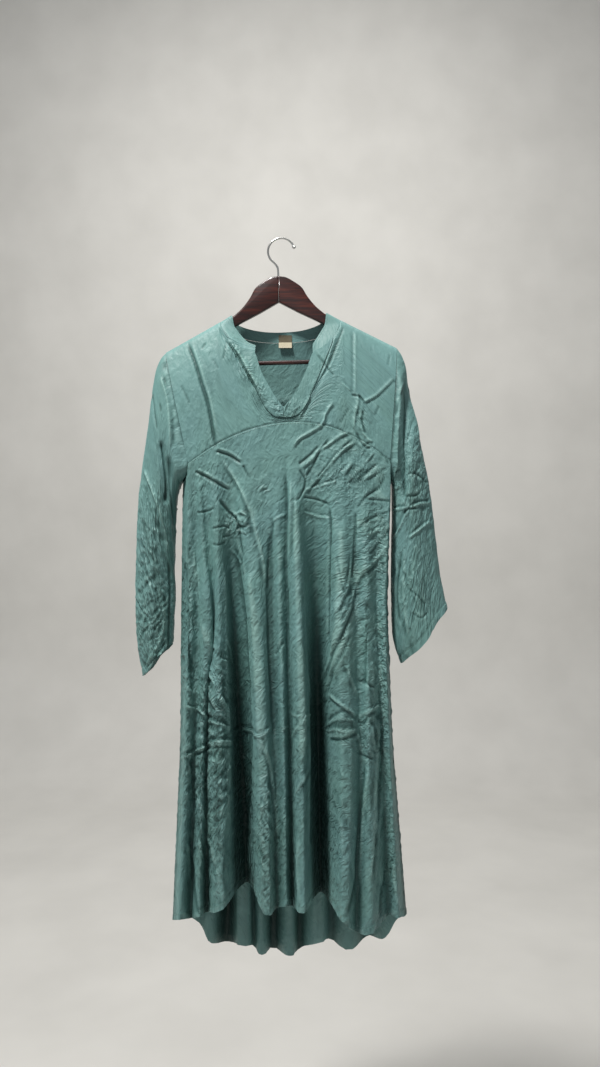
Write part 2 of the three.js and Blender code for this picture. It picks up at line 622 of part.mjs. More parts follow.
// The back's top edge from the right shoulder tip to the left one, a step for each column.
function backTop() {
  const count = SHOULDER_COLUMNS * BACK_STEPS;
  const shoulder = (side, end) =>
    Array.from({ length: count }, (_, i) => ({
      x: mix(SHOULDER_TIP[side], end.x, i / count),
      drop: 0,
    }));
  const right = shoulder("right", BACK_NECK[0]);
  const left = shoulder("left", BACK_NECK[BACK_NECK.length - 1]).reverse();
  return [...right, ...refined(BACK_NECK), ...left];
}

function backPanel() {
  const top = backTop();
  const last = top.length - 1;
  const lineOf = (c) => (c / last) * (BACK_FOLDS.length - 1);
  const hemLeft = BACK_FOLDS[BACK_FOLDS.length - 1].hem;
  const hemRight = BACK_FOLDS[0].hem;
  const upperRows = BACK_UPPER.length - 1;
  const grid = Array.from({ length: upperRows + BACK_LOWER_ROWS + 1 }, (_, r) => {
    const upper = r <= upperRows;
    const lower = clamp01((r - upperRows) / BACK_LOWER_ROWS);
    const share = upper ? BACK_UPPER[r].share : 1;
    const edge = (side) => {
      if (upper) return armhole(side, "back", BACK_UPPER[r].place);
      const seamRow = FRONT_FOLDS[side === "left" ? 0 : FRONT_FOLDS.length - 1];
      return sideSeam(side, mix(UNDERARM_Z, seamRow.hemZ, lower));
    };
    const [leftEdge, rightEdge] = [edge("left"), edge("right")];
    return top.map((point, c) => {
      if (c === 0) return rightEdge.add(vec(0, SIDE_GAP, 0));
      if (c === last) return leftEdge.add(vec(0, SIDE_GAP, 0));
      const line = lineOf(c);
      const topZ = baseZ(point.x) - point.drop;
      const hemZ = readTable(BACK_FOLDS, "hemZ", line);
      const z = upper ? mix(topZ, UNDERARM_Z, share) : mix(UNDERARM_Z, hemZ, lower);
      const topShare = (point.x - SHOULDER_TIP.right) / (SHOULDER_TIP.left - SHOULDER_TIP.right);
      const hemShare = (readTable(BACK_FOLDS, "hem", line) - hemRight) / (hemLeft - hemRight);
      const { startZ, fall, sideLines, upperShare } = BACK_BLEND;
      const across = mix(topShare, hemShare, upper ? share * upperShare : mix(upperShare, 1, lower));
      const onBend = upper && share <= BACK_BEND_SHARE;
      const x = onBend ? point.x : mix(rightEdge.x, leftEdge.x, across);
      const side = clamp01(Math.min(line, BACK_FOLDS.length - 1 - line) / sideLines);
      const body = onBack(x, z).y + HEM_SPREAD.back * skirtShare(z);
      const mean = CHEST_DEPTH.back + HEM_SPREAD.back;
      const fold = (readTable(BACK_FOLDS, "depth", line) - mean) * foldShare(z);
      const edgeY = mix(rightEdge.y, leftEdge.y, across);
      const y = z > startZ ? body : mix(edgeY, body + fold, mix(1, side, clamp01((startZ - z) / fall)));
      return vec(x, Math.max(y, 0) + SIDE_GAP, z);
    });
  });
  return clothWall(grid, CLOTH, {
    edgeNormal(r, c) {
      if (r === 0) return neckNormal(c < last / 2 ? "right" : "left", "back", top[c].drop);
      const side = c < last / 2 ? "right" : "left";
      if (c > 0 && c < last) return capNormal(side, "back", grid[r][c]);
      if (r > upperRows) return vec(side === "left" ? -1 : 1, 0, 0);
      const { place } = BACK_UPPER[r];
      return place < SHARED_NORMALS_TO ? armholeNormal(side, "back", place) : null;
    },
  });
}

// Places of a sleeve's ring on the armhole from the shoulder tip to the underarm.
const RING_PLACES = [0, 0.0125, 0.045, 0.125, 0.25, 0.43, 0.6, 0.8, 1, 1.33, 1.67, 2];

function sleeve(side) {
  const outwards = side === "left" ? -1 : 1;
  const near = side === "left" ? "front" : "back";
  const far = side === "left" ? "back" : "front";
  const half = RING_PLACES.length - 1;
  const ringOf = (make) => [
    ...RING_PLACES.map((place) => make(near, place)),
    ...RING_PLACES.slice(1, half).reverse().map((place) => make(far, place)),
  ];
  const tip = armhole(side, "front", 0);
  const turnOf = (place) => {
    const share = (tip.z - armhole(side, "front", place).z) / (tip.z - UNDERARM_Z);
    return Math.acos(1 - 2 * clamp01(share));
  };
  const shift = outwards * SIDE_GAP;
  const first = ringOf((face, place) => armhole(side, face, place).add(vec(shift, 0, 0)));
  const rings = SLEEVE_SECTIONS[side].map((row, k) =>
    ringOf((face, place) => {
      const turn = turnOf(place);
      const across = (1 - Math.cos(turn)) / 2;
      const facing = face === "front" ? -1 : 1;
      const own = facing * (face === "front" ? row.front : row.back) * Math.sin(turn);
      const y = mix(own, armhole(side, face, place).y, row.armhole);
      const wave = (SLEEVE_FOLDS.depth * k) / (SLEEVE_SECTIONS[side].length - 1);
      const phase = SLEEVE_FOLDS.count * facing * turn + SLEEVE_FOLDS.turn;
      const fold = wave * Math.cos(phase) * Math.sin(turn);
      return vec(
        mix(row.outerX, row.innerX, across) + outwards * fold * SLEEVE_FOLDS.across,
        y + fold * facing,
        mix(row.outerZ, row.innerZ, across),
      );
    }),
  );
  const places = ringOf((face, place) => ({ face, place }));
  return clothWall([first, ...rings], CLOTH, {
    ring: true,
    edgeNormal(r, c) {
      const { face, place } = places[c];
      if (r > 0 || place > SHARED_NORMALS_TO) return null;
      return place === 0 ? shoulderNormal(side) : armholeNormal(side, face, place);
    },
  });
}

// The neckband's seam line and top edge, from the right end of the opening round the back to the left.
function bandSections() {
  const front = (side, neck) =>
    BAND_TOP[side].map(({ along, x, y, lift }) => {
      const { x: seamX, drop } = neck[along];
      const restZ = along < ON_ARM_ROWS ? armTopZ(x) : baseZ(x);
      return {
        seam: onFront(seamX, baseZ(seamX) - drop),
        normal: neckNormal(side, "front", drop),
        top: vec(x, y, restZ + lift),
      };
    });
  const backTops = refined(BAND_TOP.back);
  const back = refined(BACK_NECK).map(({ x, drop }, i) => ({
    seam: onBack(x, baseZ(x) - drop).add(vec(0, SIDE_GAP, 0)),
    normal: neckNormal(x < 0 ? "left" : "right", "back", drop),
    top: vec(backTops[i].x, backTops[i].y, backTops[i].z),
  }));
  const left = front("left", NECK_LEFT);
  const right = front("right", NECK_RIGHT);
  return [...right.reverse(), ...back.slice(1, -1), ...left];
}

function neckband() {
  const sections = bandSections();
  const grid = Array.from({ length: BAND_ROWS + 1 }, (_, r) =>
    sections.map(({ seam, top }) => {
      const height = top.distanceTo(seam);
      return top.clone().lerp(seam, (r / BAND_ROWS) * (1 - SEAM_GAP / height));
    }),
  );
  const edgeNormal = (r, c) => (r === BAND_ROWS ? sections[c].normal : null);
  return clothWall(grid, BAND_CLOTH, { edgeNormal });
}

// Wood and wire of the hanger, upright.
function armShape() {
  const shape = new THREE.Shape();
  shape.moveTo(SEAM_GAP / 2, JOINT.bottom);
  shape.lineTo(SEAM_GAP / 2, JOINT.top);
  shape.splineThru([...HUMP, SHOULDER_START].map(({ out, z }) => new THREE.Vector2(out, z)));
  shape.lineTo(TIP_START.out, TIP_START.z);
  TIP_CURVES.forEach(({ viaOut, viaZ, out, z }) => shape.quadraticCurveTo(viaOut, viaZ, out, z));
  UNDERSIDE.forEach(({ out, z }) => shape.lineTo(out, z));
  shape.closePath();
  return shape;
}

function toSolid(geometry) {
  const bare = geometry.clone();
  bare.deleteAttribute("normal");
  bare.deleteAttribute("uv");
  const merged = mergeVertices(bare, 1e-4);
  const triVerts = new Uint32Array(merged.index.array);
  return new wasm.Manifold(
    new wasm.Mesh({ numProp: 3, vertProperties: merged.attributes.position.array, triVerts }),
  );
}

function toGeometry(solid) {
  const mesh = solid.getMesh();
  const geometry = new THREE.BufferGeometry();
  geometry.setAttribute("position", new THREE.Float32BufferAttribute(mesh.vertProperties, 3));
  geometry.setIndex([...mesh.triVerts]);
  return geometry;
}

// A round rod from one point to another.
function rod(from, to, radius, sides) {
  const along = to.clone().sub(from);
  const geometry = new THREE.CylinderGeometry(radius, radius, along.length(), sides);
  geometry.applyQuaternion(new THREE.Quaternion().setFromUnitVectors(vec(0, 1, 0), along.normalize()));
  const middle = from.clone().add(to).multiplyScalar(0.5);
  return geometry.translate(middle.x, middle.y, middle.z);
}

function barRod(play) {
  const end = BAR.halfLength + play;
  return rod(
    vec(HANGER_CENTRE_X - end, 0, BAR.z),
    vec(HANGER_CENTRE_X + end, 0, BAR.z),
    BAR.radius + play,
    16,
  );
}

function stemHole() {
  const play = SEAM_GAP;
  return rod(
    vec(HANGER_CENTRE_X, 0, STEM.bottom - play),
    vec(HANGER_CENTRE_X, 0, STEM.top + play),
    WIRE_RADIUS + play,
    12,
  );
}

function hangerArm(side) {
  const geometry = new THREE.ExtrudeGeometry(armShape(), {
    depth: ARM_THICKNESS - 2 * ARM_ROUNDING,
    bevelEnabled: true,
    bevelThickness: ARM_ROUNDING,
    bevelSize: ARM_ROUNDING,
    bevelOffset: -ARM_ROUNDING,
    bevelSegments: 2,
    curveSegments: 3,
  });
  geometry.translate(0, 0, ARM_ROUNDING - ARM_THICKNESS / 2);
  geometry.rotateX(Math.PI / 2);
  if (side === "left") geometry.rotateZ(Math.PI);
  geometry.translate(HANGER_CENTRE_X, 0, 0);
  const socketed = toSolid(geometry).subtract(toSolid(barRod(BAR.socketPlay)));
  return toGeometry(socketed.subtract(toSolid(stemHole())));
}

// The wire's middle line: round the bend from the ball end, then in to the stem.
function hookCurve() {
  const centreZ = WIRE_RADIUS - HOOK.bend;
  const points = [];
  for (let a = HOOK.startDegrees; a <= HOOK.endDegrees; a += HOOK.stepDegrees) {
    const turn = THREE.MathUtils.degToRad(a);
    points.push(vec(HOOK.bend * Math.cos(turn), 0, centreZ + HOOK.bend * Math.sin(turn)));
  }
  points.push(vec(HANGER_CENTRE_X - STEM.bendOut, 0, STEM.top + STEM.bendHeight));
  const stemHeights = [STEM.top, (STEM.top + STEM.bottom) / 2, STEM.bottom];
  stemHeights.forEach((z) => points.push(vec(HANGER_CENTRE_X, 0, z)));
  return new THREE.CatmullRomCurve3(points, false, "centripetal");
}

function hangerHook() {
  const section = new THREE.Shape().absarc(0, 0, WIRE_RADIUS, 0, 2 * Math.PI);
  const curve = hookCurve();
  const wire = new THREE.ExtrudeGeometry(section, { extrudePath: curve, steps: WIRE_STEPS, curveSegments: 5 });
  const start = curve.getPoint(0);
  const ball = new THREE.SphereGeometry(HOOK.ball, 12, 8).translate(start.x, start.y, start.z);
  return toGeometry(toSolid(wire).add(toSolid(ball)));
}

// The label hangs inside the neckband at the middle of the back.
function neckLabel() {
  const { middleRow, fromX, toX, topZ, bottomZ, columns, rows } = LABEL_SPOT;
  const { x: seamX, drop } = BACK_NECK[middleRow];
  const seamZ = baseZ(seamX) - drop;
  const seamY = onBack(seamX, seamZ).y;
  const { y: topY, z: bandTopZ } = BAND_TOP.back[middleRow];
  const clear = BAND_CLOTH + 2 * SEAM_GAP;
  const grid = Array.from({ length: rows + 1 }, (_, r) =>
    Array.from({ length: columns + 1 }, (_, c) => {
      const z = mix(topZ, bottomZ, r / rows);
      const y = mix(topY, seamY, clamp01((bandTopZ - z) / (bandTopZ - seamZ))) - clear;
      return vec(mix(toX, fromX, c / columns), y, z);
    }),
  );
  return clothWall(grid, LABEL_CLOTH);
}

function named(name, geometry, finish) {
  const mesh = new THREE.Mesh(geometry, new THREE.MeshStandardMaterial(finish));
  mesh.name = name;
  return mesh;
}

const dress = new THREE.Group();
dress.add(
  named("front_yoke", frontYoke(), SATIN),
  named("front_panel", frontPanel(), SATIN),
  named("back_panel", backPanel(), SATIN),
  named("sleeve_left", sleeve("left"), SATIN),
  named("sleeve_right", sleeve("right"), SATIN),
  named("neckband", neckband(), SATIN),
  named("neck_facing_left", neckFacing("left"), SATIN),
  named("neck_facing_right", neckFacing("right"), SATIN),
  named("neck_label", neckLabel(), LABEL),
);

const hanger = new THREE.Group();
hanger.rotation.y = -HANGER_TILT;
hanger.add(
  named("hanger_arm_left", hangerArm("left"), WOOD),
  named("hanger_arm_right", hangerArm("right"), WOOD),
  named("hanger_bar", toGeometry(toSolid(barRod(0))), WOOD),
  named("hanger_hook", hangerHook(), STEEL),
);

const part = new THREE.Group();
part.add(dress, hanger);
export default part;
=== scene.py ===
# %% [markdown]
# # A midi dress on a wooden hanger
#
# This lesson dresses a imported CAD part: an A-line satin dress that hangs by its shoulders from a
# hanger. The CAD solids are plain walls of cloth in the right places. Here each wall becomes a finer
# shell on the same form, with the creases that satin keeps after it has been folded away.
#
# Lengths in the tables are millimetres, as a dressmaker would write them. Blender works in metres,
# so meshes are scaled once, when they are made.

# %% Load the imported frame
import math
from collections import namedtuple

import bmesh
import bpy
import numpy as np
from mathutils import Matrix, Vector


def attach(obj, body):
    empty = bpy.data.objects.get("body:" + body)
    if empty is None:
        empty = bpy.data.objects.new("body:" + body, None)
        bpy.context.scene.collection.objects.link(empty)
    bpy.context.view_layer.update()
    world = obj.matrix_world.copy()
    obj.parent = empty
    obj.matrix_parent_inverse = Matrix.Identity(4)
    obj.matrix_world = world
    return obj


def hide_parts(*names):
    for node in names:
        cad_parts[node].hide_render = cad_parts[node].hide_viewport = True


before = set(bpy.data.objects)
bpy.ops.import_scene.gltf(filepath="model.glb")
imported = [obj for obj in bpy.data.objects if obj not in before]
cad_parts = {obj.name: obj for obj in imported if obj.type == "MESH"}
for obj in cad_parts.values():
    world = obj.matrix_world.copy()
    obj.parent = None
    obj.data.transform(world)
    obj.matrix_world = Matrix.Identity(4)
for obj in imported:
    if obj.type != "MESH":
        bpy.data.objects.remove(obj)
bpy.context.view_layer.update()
MM = 0.001
print("frame:", len(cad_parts), "nodes")

# %% [markdown]
# ## Sizes of the cloth and of the hanger's slope
#
# The dress is a tube cut from a few panels. Its form follows from where it rests: the slope of the
# hanger's arms, the bend over them, and how far the chest stands from the hanger's middle plane.

# %% Driving sizes
CLOTH = 1.2
BAND_CLOTH = 1.5
SEAM_GAP = 0.3
SIDE_GAP = 0.5
REST_GAP = 1.3
CAP_RADIUS = 11
CHEST_DEPTH = {"front": 40, "back": 42}
CHEST_FALL = 70
UNDERARM_Z = -431
HEM_SPREAD = {"front": 18, "back": 30}
SKIRT_HEIGHT = 760
HANGER_TILT = 0.0253
HANGER_CENTRE_X = -6.6
SHOULDER_START = (80, -134.9)
SHOULDER_END = (199, -197.8)
SHOULDER_TIP = {"left": -204, "right": 205}
UNDERARM = {"left": -175, "right": 194}
ARCH = {
    "middle_x": 28,
    "z": -330,
    "left_x": -160,
    "right_x": 190,
    "left_drop": 72,
    "right_drop": 67,
    "power": 2.05,
}


def table(name, columns, rows):
    """Rows of a dressmaker's table as a dictionary of arrays, one for each named column."""
    row = namedtuple(name, columns)
    made = [row(*values) for values in rows]
    return {column: np.array([getattr(r, column) for r in made], float) for column in row._fields}


# %% [markdown]
# ## The neck and the folds, as tables
#
# The neck edge, the folds of the skirt and the rings of the sleeves are short tables, a row for each
# place. They are the CAD's own tables, so that every shell lies on its solid.

# %% Tables of the neck edge
NECK_COLUMNS = "x drop seam_x facing even"
NECK_LEFT = table("NeckPlace", NECK_COLUMNS, [
    (-108, 0, -115, 34, 0),
    (-107.6, 1, -109, 30, 0),
    (-106.8, 4, -103, 24, 0),
    (-105, 11, -97, 17, 0.2),
    (-101, 21, -90, 10, 0.6),
    (-92, 34, -81, 6, 1),
    (-70, 51, -63, 30, 1),
    (-45, 62, -43, 63, 1),
    (-34, 94, -33, 51, 1),
    (-22, 117, -22, 46, 1),
    (-8, 141, -8, 33, 1),
    (5, 158, 5, 18, 1),
])
NECK_RIGHT = table("NeckPlace", NECK_COLUMNS, [
    (106.5, 0, 120, 34, 0),
    (106.1, 1, 114, 30, 0),
    (105.3, 4, 108, 24, 0),
    (103.6, 11, 102, 17, 0.2),
    (99.5, 21, 95, 10, 0.6),
    (91, 35, 85, 8, 1),
    (75, 51, 70, 34, 1),
    (56, 63, 55, 66, 1),
    (45, 92, 45, 60, 1),
    (34, 117, 34, 50, 1),
    (20, 141, 20, 34, 1),
    (5, 158, 5, 18, 1),
])
FACING_FROM = 5
CAP_SHARES = [0, 0.03, 0.115, 0.265, 1]
BACK_NECK = table("BackNeckPlace", "x drop", [
    (106.5, 0),
    (106.1, 1),
    (105.3, 4),
    (103, 9),
    (92, 17),
    (70, 25),
    (40, 31),
    (6, 33),
    (-28, 32),
    (-60, 27),
    (-86, 18),
    (-104.5, 9),
    (-106.8, 4),
    (-107.6, 1),
    (-108, 0),
])
BACK_UPPER = table("BackRow", "share place", [
    (0, 0),
    (0.005, 0.006),
    (0.019, 0.022),
    (0.045, 0.052),
    (0.11, 0.126),
    (0.2, 0.23),
    (0.33, 0.38),
    (0.5, 0.57),
    (0.7, 0.8),
    (0.873, 1),
    (0.96, 1.5),
    (1, 2),
])
BACK_BEND_SHARE = 0.045
ON_ARM_ROWS = 3
BAND_TOP = {
    "left": table("BandPlace", "along x y lift", [
        (0, -88, 0, 2.9),
        (1, -87.4, -6, 2.2),
        (2, -86, -10.5, -1.2),
        (3, -82.5, -13, -9),
        (4, -76, -15, -19),
        (5, -66, -17.5, -32),
        (6, -55, -20.5, -42),
        (7, -44, -24, -46.5),
    ]),
    "right": table("BandPlace", "along x y lift", [
        (0, 81, 0, 2.9),
        (1, 80.8, -6, 2.2),
        (2, 80, -10.5, -1.2),
        (3, 77.5, -13, -9),
        (4, 73, -15, -18),
        (5, 66, -17.5, -30),
        (6, 60.5, -20.5, -39),
        (7, 56, -24, -46),
    ]),
    "back": table("BandBackPlace", "x y z", [
        (81, 0, -132),
        (80.8, 6, -133),
        (80, 10.5, -136),
        (78, 13.5, -140),
        (70, 17, -147),
        (55, 20.5, -153),
        (34, 23, -158),
        (6, 24, -160.5),
        (-24, 23.5, -160.5),
        (-52, 21, -157),
        (-72, 17, -151.5),
        (-83, 13.5, -146),
        (-86, 10.5, -142),
        (-87.4, 6, -138.5),
        (-88, 0, -137.3),
    ]),
}
LABEL_SPOT = {"middle_row": 7, "from_x": -4.5, "to_x": 19, "top_z": -166, "bottom_z": -189}
print("neck edge:", len(NECK_LEFT["x"]) + len(NECK_RIGHT["x"]) - 1, "places in front")

# %% [markdown]
# A flared skirt falls in folds from the bust seam. Each row is one line down the cloth, a crest or a
# valley: where it passes the bust, waist, knee and hem, and how far out it stands at the hem. The
# back is seen only below the front hem, so its table has the hem alone.

# %% Tables of the skirt's folds
FRONT_FOLDS = table("FrontFold", "bust waist knee hem depth hem_z", [
    (-175, -179, -181, -196, 15, -1219),
    (-160, -159, -164, -175, -30, -1197),
    (-150, -143, -151, -160, 0, -1208),
    (-141, -127, -136, -141, -40, -1187),
    (-132, -116, -128, -131, -5, -1195),
    (-112, -106, -103, -99, -62, -1165),
    (-88, -85, -74, -63, 38, -1159),
    (-60, -47, -36, -25, -78, -1166),
    (-22, -15, -9, -6, -48, -1168),
    (-6, -1, 6, 10, -66, -1158),
    (10, 13, 18, 22, -38, -1169),
    (26, 30, 37, 40, -88, -1159),
    (58, 62, 66, 72, 34, -1176),
    (94, 102, 106, 105, -92, -1171),
    (124, 132, 139, 130, -50, -1207),
    (146, 149, 151, 154, -72, -1201),
    (167, 168, 178, 188, -20, -1194),
    (190, 180, 188, 203, -40, -1189),
    (194, 190, 200, 226, 15, -1208),
])
FOLD_HEIGHTS = {"bust": -430, "waist": -650, "knee": -890}
BACK_FOLDS = table("BackFold", "hem depth hem_z", [
    (226, 15, -1208),
    (212, 52, -1238),
    (190, 58, -1276),
    (163, 106, -1295),
    (126, 74, -1306),
    (93, 102, -1299),
    (66, 56, -1284),
    (34, 112, -1322),
    (14, 78, -1320),
    (-18, 122, -1326),
    (-38, 74, -1316),
    (-54, 100, -1312),
    (-72, 60, -1290),
    (-105, 118, -1312),
    (-134, 70, -1290),
    (-152, 80, -1262),
    (-178, 50, -1228),
    (-196, 15, -1219),
])
TOP_BLEND = {"across": 60, "depth": 90, "folds": 30}
ROW_CROWDING = 1.15
BACK_BLEND = {"start_z": -300, "fall": 130, "side_lines": 0.7, "upper_share": 0.5}
print("skirt:", len(FRONT_FOLDS["hem"]), "front and", len(BACK_FOLDS["hem"]), "back fold lines")

# %% [markdown]
# A sleeve is a flat tube. Each row is one ring from the shoulder to the cuff, given by its outer and
# inner fold and by its half depth in front and behind. The last column says how much of the
# armhole's own depth the ring keeps.

# %% Tables of the sleeves' rings
SLEEVE_COLUMNS = "outer_x outer_z inner_x inner_z front back armhole"
SLEEVE_SECTIONS = {
    "left": table("SleeveRing", SLEEVE_COLUMNS, [
        (-212, -212, -178, -437, 38, 40, 0.85),
        (-221, -232, -182, -447, 38, 40, 0.6),
        (-228, -272, -185, -466, 38, 42, 0.3),
        (-235, -328, -187, -498, 38, 44, 0),
        (-243, -386, -188, -530, 38, 46, 0),
        (-250, -440, -189, -560, 38, 50, 0),
        (-254, -500, -189, -590, 39, 53, 0),
        (-256, -560, -188, -620, 40, 56, 0),
        (-257, -620, -188, -648, 41, 58, 0),
        (-256, -680, -190, -674, 42, 60, 0),
        (-252, -728, -191, -696, 43, 62, 0),
        (-243, -776, -193, -716, 44, 63, 0),
    ]),
    "right": table("SleeveRing", SLEEVE_COLUMNS, [
        (213, -205, 197, -437, 38, 40, 0.85),
        (221, -227, 198, -447, 38, 40, 0.6),
        (229, -272, 198, -468, 38, 42, 0.3),
        (240, -328, 198, -500, 38, 44, 0),
        (252, -384, 197, -534, 38, 46, 0),
        (262, -436, 196, -568, 38, 50, 0),
        (269, -486, 196, -602, 39, 53, 0),
        (274, -530, 196, -636, 40, 56, 0),
        (279, -572, 197, -668, 41, 58, 0),
        (284, -606, 198, -698, 42, 60, 0),
        (289, -632, 203, -726, 43, 62, 0),
        (294, -654, 214, -754, 44, 63, 0),
    ]),
}
SLEEVE_FOLDS = {"count": 4, "depth": 4.5, "across": 0.6, "turn": 0.9}
RING_PLACES = [0, 0.0125, 0.045, 0.125, 0.25, 0.43, 0.6, 0.8, 1, 1.33, 1.67, 2]
SHOULDER_COLUMNS = 6
YOKE_LOWER_ROWS = 7
PANEL_ROWS = 17
FOLD_STEPS = 3
BACK_STEPS = 2
BACK_LOWER_ROWS = 11
print("sleeves:", len(SLEEVE_SECTIONS["left"]["front"]), "rings each")

# %% [markdown]
# ## From a table to a surface
#
# Cloth that hangs over a hanger has three parts: the bend over the arm, the chest that stands away
# from it, and the skirt whose folds grow towards the hem. Each panel is a grid of points, rows going
# down and columns going round. The functions below give that grid from the tables.


# %% Small helpers
def mix(a, b, t):
    return a + (b - a) * t


def clamp01(t):
    return min(max(t, 0.0), 1.0)


def read_smooth(values, at):
    """A table's column at a row number between two rows, on a smooth curve."""
    last = len(values) - 1
    low = min(int(at), last - 1)
    t = at - low
    a, b, c, d = (values[min(max(i, 0), last)] for i in (low - 1, low, low + 1, low + 2))
    slope_b = (c - a) / 2
    slope_c = (d - b) / 2
    start = (2 * t**3 - 3 * t**2 + 1) * b + (t**3 - 2 * t**2 + t) * slope_b
    return start + (3 * t**2 - 2 * t**3) * c + (t**3 - t**2) * slope_c


def refined(columns):
    """A table with BACK_STEPS steps between its rows."""
    count = (len(next(iter(columns.values()))) - 1) * BACK_STEPS + 1
    places = [i / BACK_STEPS for i in range(count)]
    return {name: np.array([read_smooth(column, at) for at in places]) for name, column in columns.items()}


def hung(x, z):
    """A point of the upright hanger, as it hangs a little turned about the seat of its hook."""
    c, s = math.cos(HANGER_TILT), math.sin(HANGER_TILT)
    return x * c - z * s, x * s + z * c


ARM_SLOPES = [
    (
        hung(HANGER_CENTRE_X + side * SHOULDER_START[0], SHOULDER_START[1]),
        hung(HANGER_CENTRE_X + side * SHOULDER_END[0], SHOULDER_END[1]),
    )
    for side in (-1, 1)
]


def arm_top_z(x):
    (inner_x, inner_z), (outer_x, outer_z) = ARM_SLOPES[0 if x < HANGER_CENTRE_X else 1]
    return mix(inner_z, outer_z, (x - inner_x) / (outer_x - inner_x))


def shoulder_z(x):
    return arm_top_z(x) + REST_GAP + CLOTH


NECK_END_X = [NECK_LEFT["x"][0], NECK_RIGHT["x"][0]]


def base_z(x):
    """Height from which depths are measured: the shoulder line, and a level across the neck."""
    if x <= NECK_END_X[0] or x >= NECK_END_X[1]:
        return shoulder_z(x)
    share = (x - NECK_END_X[0]) / (NECK_END_X[1] - NECK_END_X[0])
    return mix(shoulder_z(NECK_END_X[0]), shoulder_z(NECK_END_X[1]), share)


def chest_depth(drop, full):
    rest = 1 - clamp01(drop / CAP_RADIUS)
    cap = CAP_RADIUS * math.sqrt(max(0.0, 1 - rest * rest))
    return cap + (full - CAP_RADIUS) * (1 - math.exp(-max(drop, 0) / CHEST_FALL))


def on_front(x, z):
    return np.array([x, -chest_depth(base_z(x) - z, CHEST_DEPTH["front"]), z])


def on_back(x, z):
    return np.array([x, chest_depth(base_z(x) - z, CHEST_DEPTH["back"]), z])


def arch_z(x):
    left = x < ARCH["middle_x"]
    reach = ARCH["middle_x"] - ARCH["left_x"] if left else ARCH["right_x"] - ARCH["middle_x"]
    drop = ARCH["left_drop"] if left else ARCH["right_drop"]
    return ARCH["z"] - drop * (abs(x - ARCH["middle_x"]) / reach) ** ARCH["power"]


def armhole(side, face, place):
    """The armhole's edge: place 0 is the shoulder tip, 1 the end of the arched seam, 2 the underarm."""
    tip_x = SHOULDER_TIP[side]
    tip_z = shoulder_z(tip_x)
    arch_x = ARCH[side + "_x"]
    on = on_front if face == "front" else on_back
    if place <= 1:
        return on(mix(tip_x, arch_x, place), mix(tip_z, arch_z(arch_x), place))
    end = on(arch_x, arch_z(arch_x))
    turn = (place - 1) * math.pi / 2
    x = mix(arch_x, UNDERARM[side], 1 - math.cos(turn))
    return np.array([x, end[1] * math.cos(turn), mix(end[2], UNDERARM_Z, math.sin(turn))])


print("shoulder tips at", round(shoulder_z(-204)), "and", round(shoulder_z(205)), "mm")


# %% [markdown]
# The yoke is the flat upper front. It is cut to the V at the neck and to an arch over the bust, so
# its rows run from one of these edges to the other.

# %% The yoke, from the shoulders to the arched seam
def yoke_columns():
    def shoulder(side, neck):
        for i in range(SHOULDER_COLUMNS):
            share = i / SHOULDER_COLUMNS
            x = mix(SHOULDER_TIP[side], neck["x"][0], share)
            yield x, 0, mix(ARCH[side + "_x"], neck["seam_x"][0], share), neck["facing"][0], 0

    def places(neck):
        return list(zip(*(neck[k] for k in NECK_COLUMNS.split())))

    left = [*shoulder("left", NECK_LEFT), *places(NECK_LEFT)]
    right = [*shoulder("right", NECK_RIGHT), *places(NECK_RIGHT)]
    return left + right[:-1][::-1], len(left) - 1


def yoke_grid():
    columns, _ = yoke_columns()
    upper = len(CAP_SHARES) - 1
    rows = []
    for r in range(upper + YOKE_LOWER_ROWS + 1):
        row = []
        for x, drop, seam_x, facing, even in columns:
            top = base_z(x) - drop
            seam = arch_z(seam_x)
            height = top - seam
            if r <= upper:
                share = mix(CAP_SHARES[r], r / upper, even) * facing / height
            else:
                share = mix(facing / height, 1, (r - upper) / YOKE_LOWER_ROWS)
            row.append(on_front(mix(x, seam_x, share), mix(top, seam, share)))
        rows.append(row)
    return np.array(rows)


print("yoke grid", yoke_grid().shape)


# %% [markdown]
# The front panel is gathered by nothing but its flare: almost flat at the seam, deeply folded at the
# hem. A fold's depth therefore grows with the height that the cloth has fallen.

# %% The front panel and its folds
def fold_share(z):
    """Share of a fold's full depth at a height: none at the arched seam, all at the hem."""
    fall = (FOLD_HEIGHTS["bust"] - z) / SKIRT_HEIGHT
    if fall < 0:
        return 0.05 * clamp01(1 + fall * SKIRT_HEIGHT / 100)
    return 0.05 + 0.95 * min(fall, 1) ** 0.9


def skirt_share(z):
    return max(0.0, (UNDERARM_Z - z) / SKIRT_HEIGHT)


def fold_x(line, z):
    heights = [read_smooth(FRONT_FOLDS["hem_z"], line)]
    heights += [FOLD_HEIGHTS[k] for k in ("knee", "waist", "bust")]
    places = [read_smooth(FRONT_FOLDS[k], line) for k in ("hem", "knee", "waist", "bust")]
    return float(np.interp(z, heights, places))


LAST_FRONT = len(FRONT_FOLDS["hem"]) - 1


def side_seam(side, z):
    row = 0 if side == "left" else LAST_FRONT
    return np.array([fold_x(row, z), FRONT_FOLDS["depth"][row] * skirt_share(z), z])


def front_top(line):
    if line < 1:
        return armhole("left", "front", 2 - line)
    if line > LAST_FRONT - 1:
        return armhole("right", "front", 2 - (LAST_FRONT - line))
    x = read_smooth(FRONT_FOLDS["bust"], line)
    return on_front(x, arch_z(x))


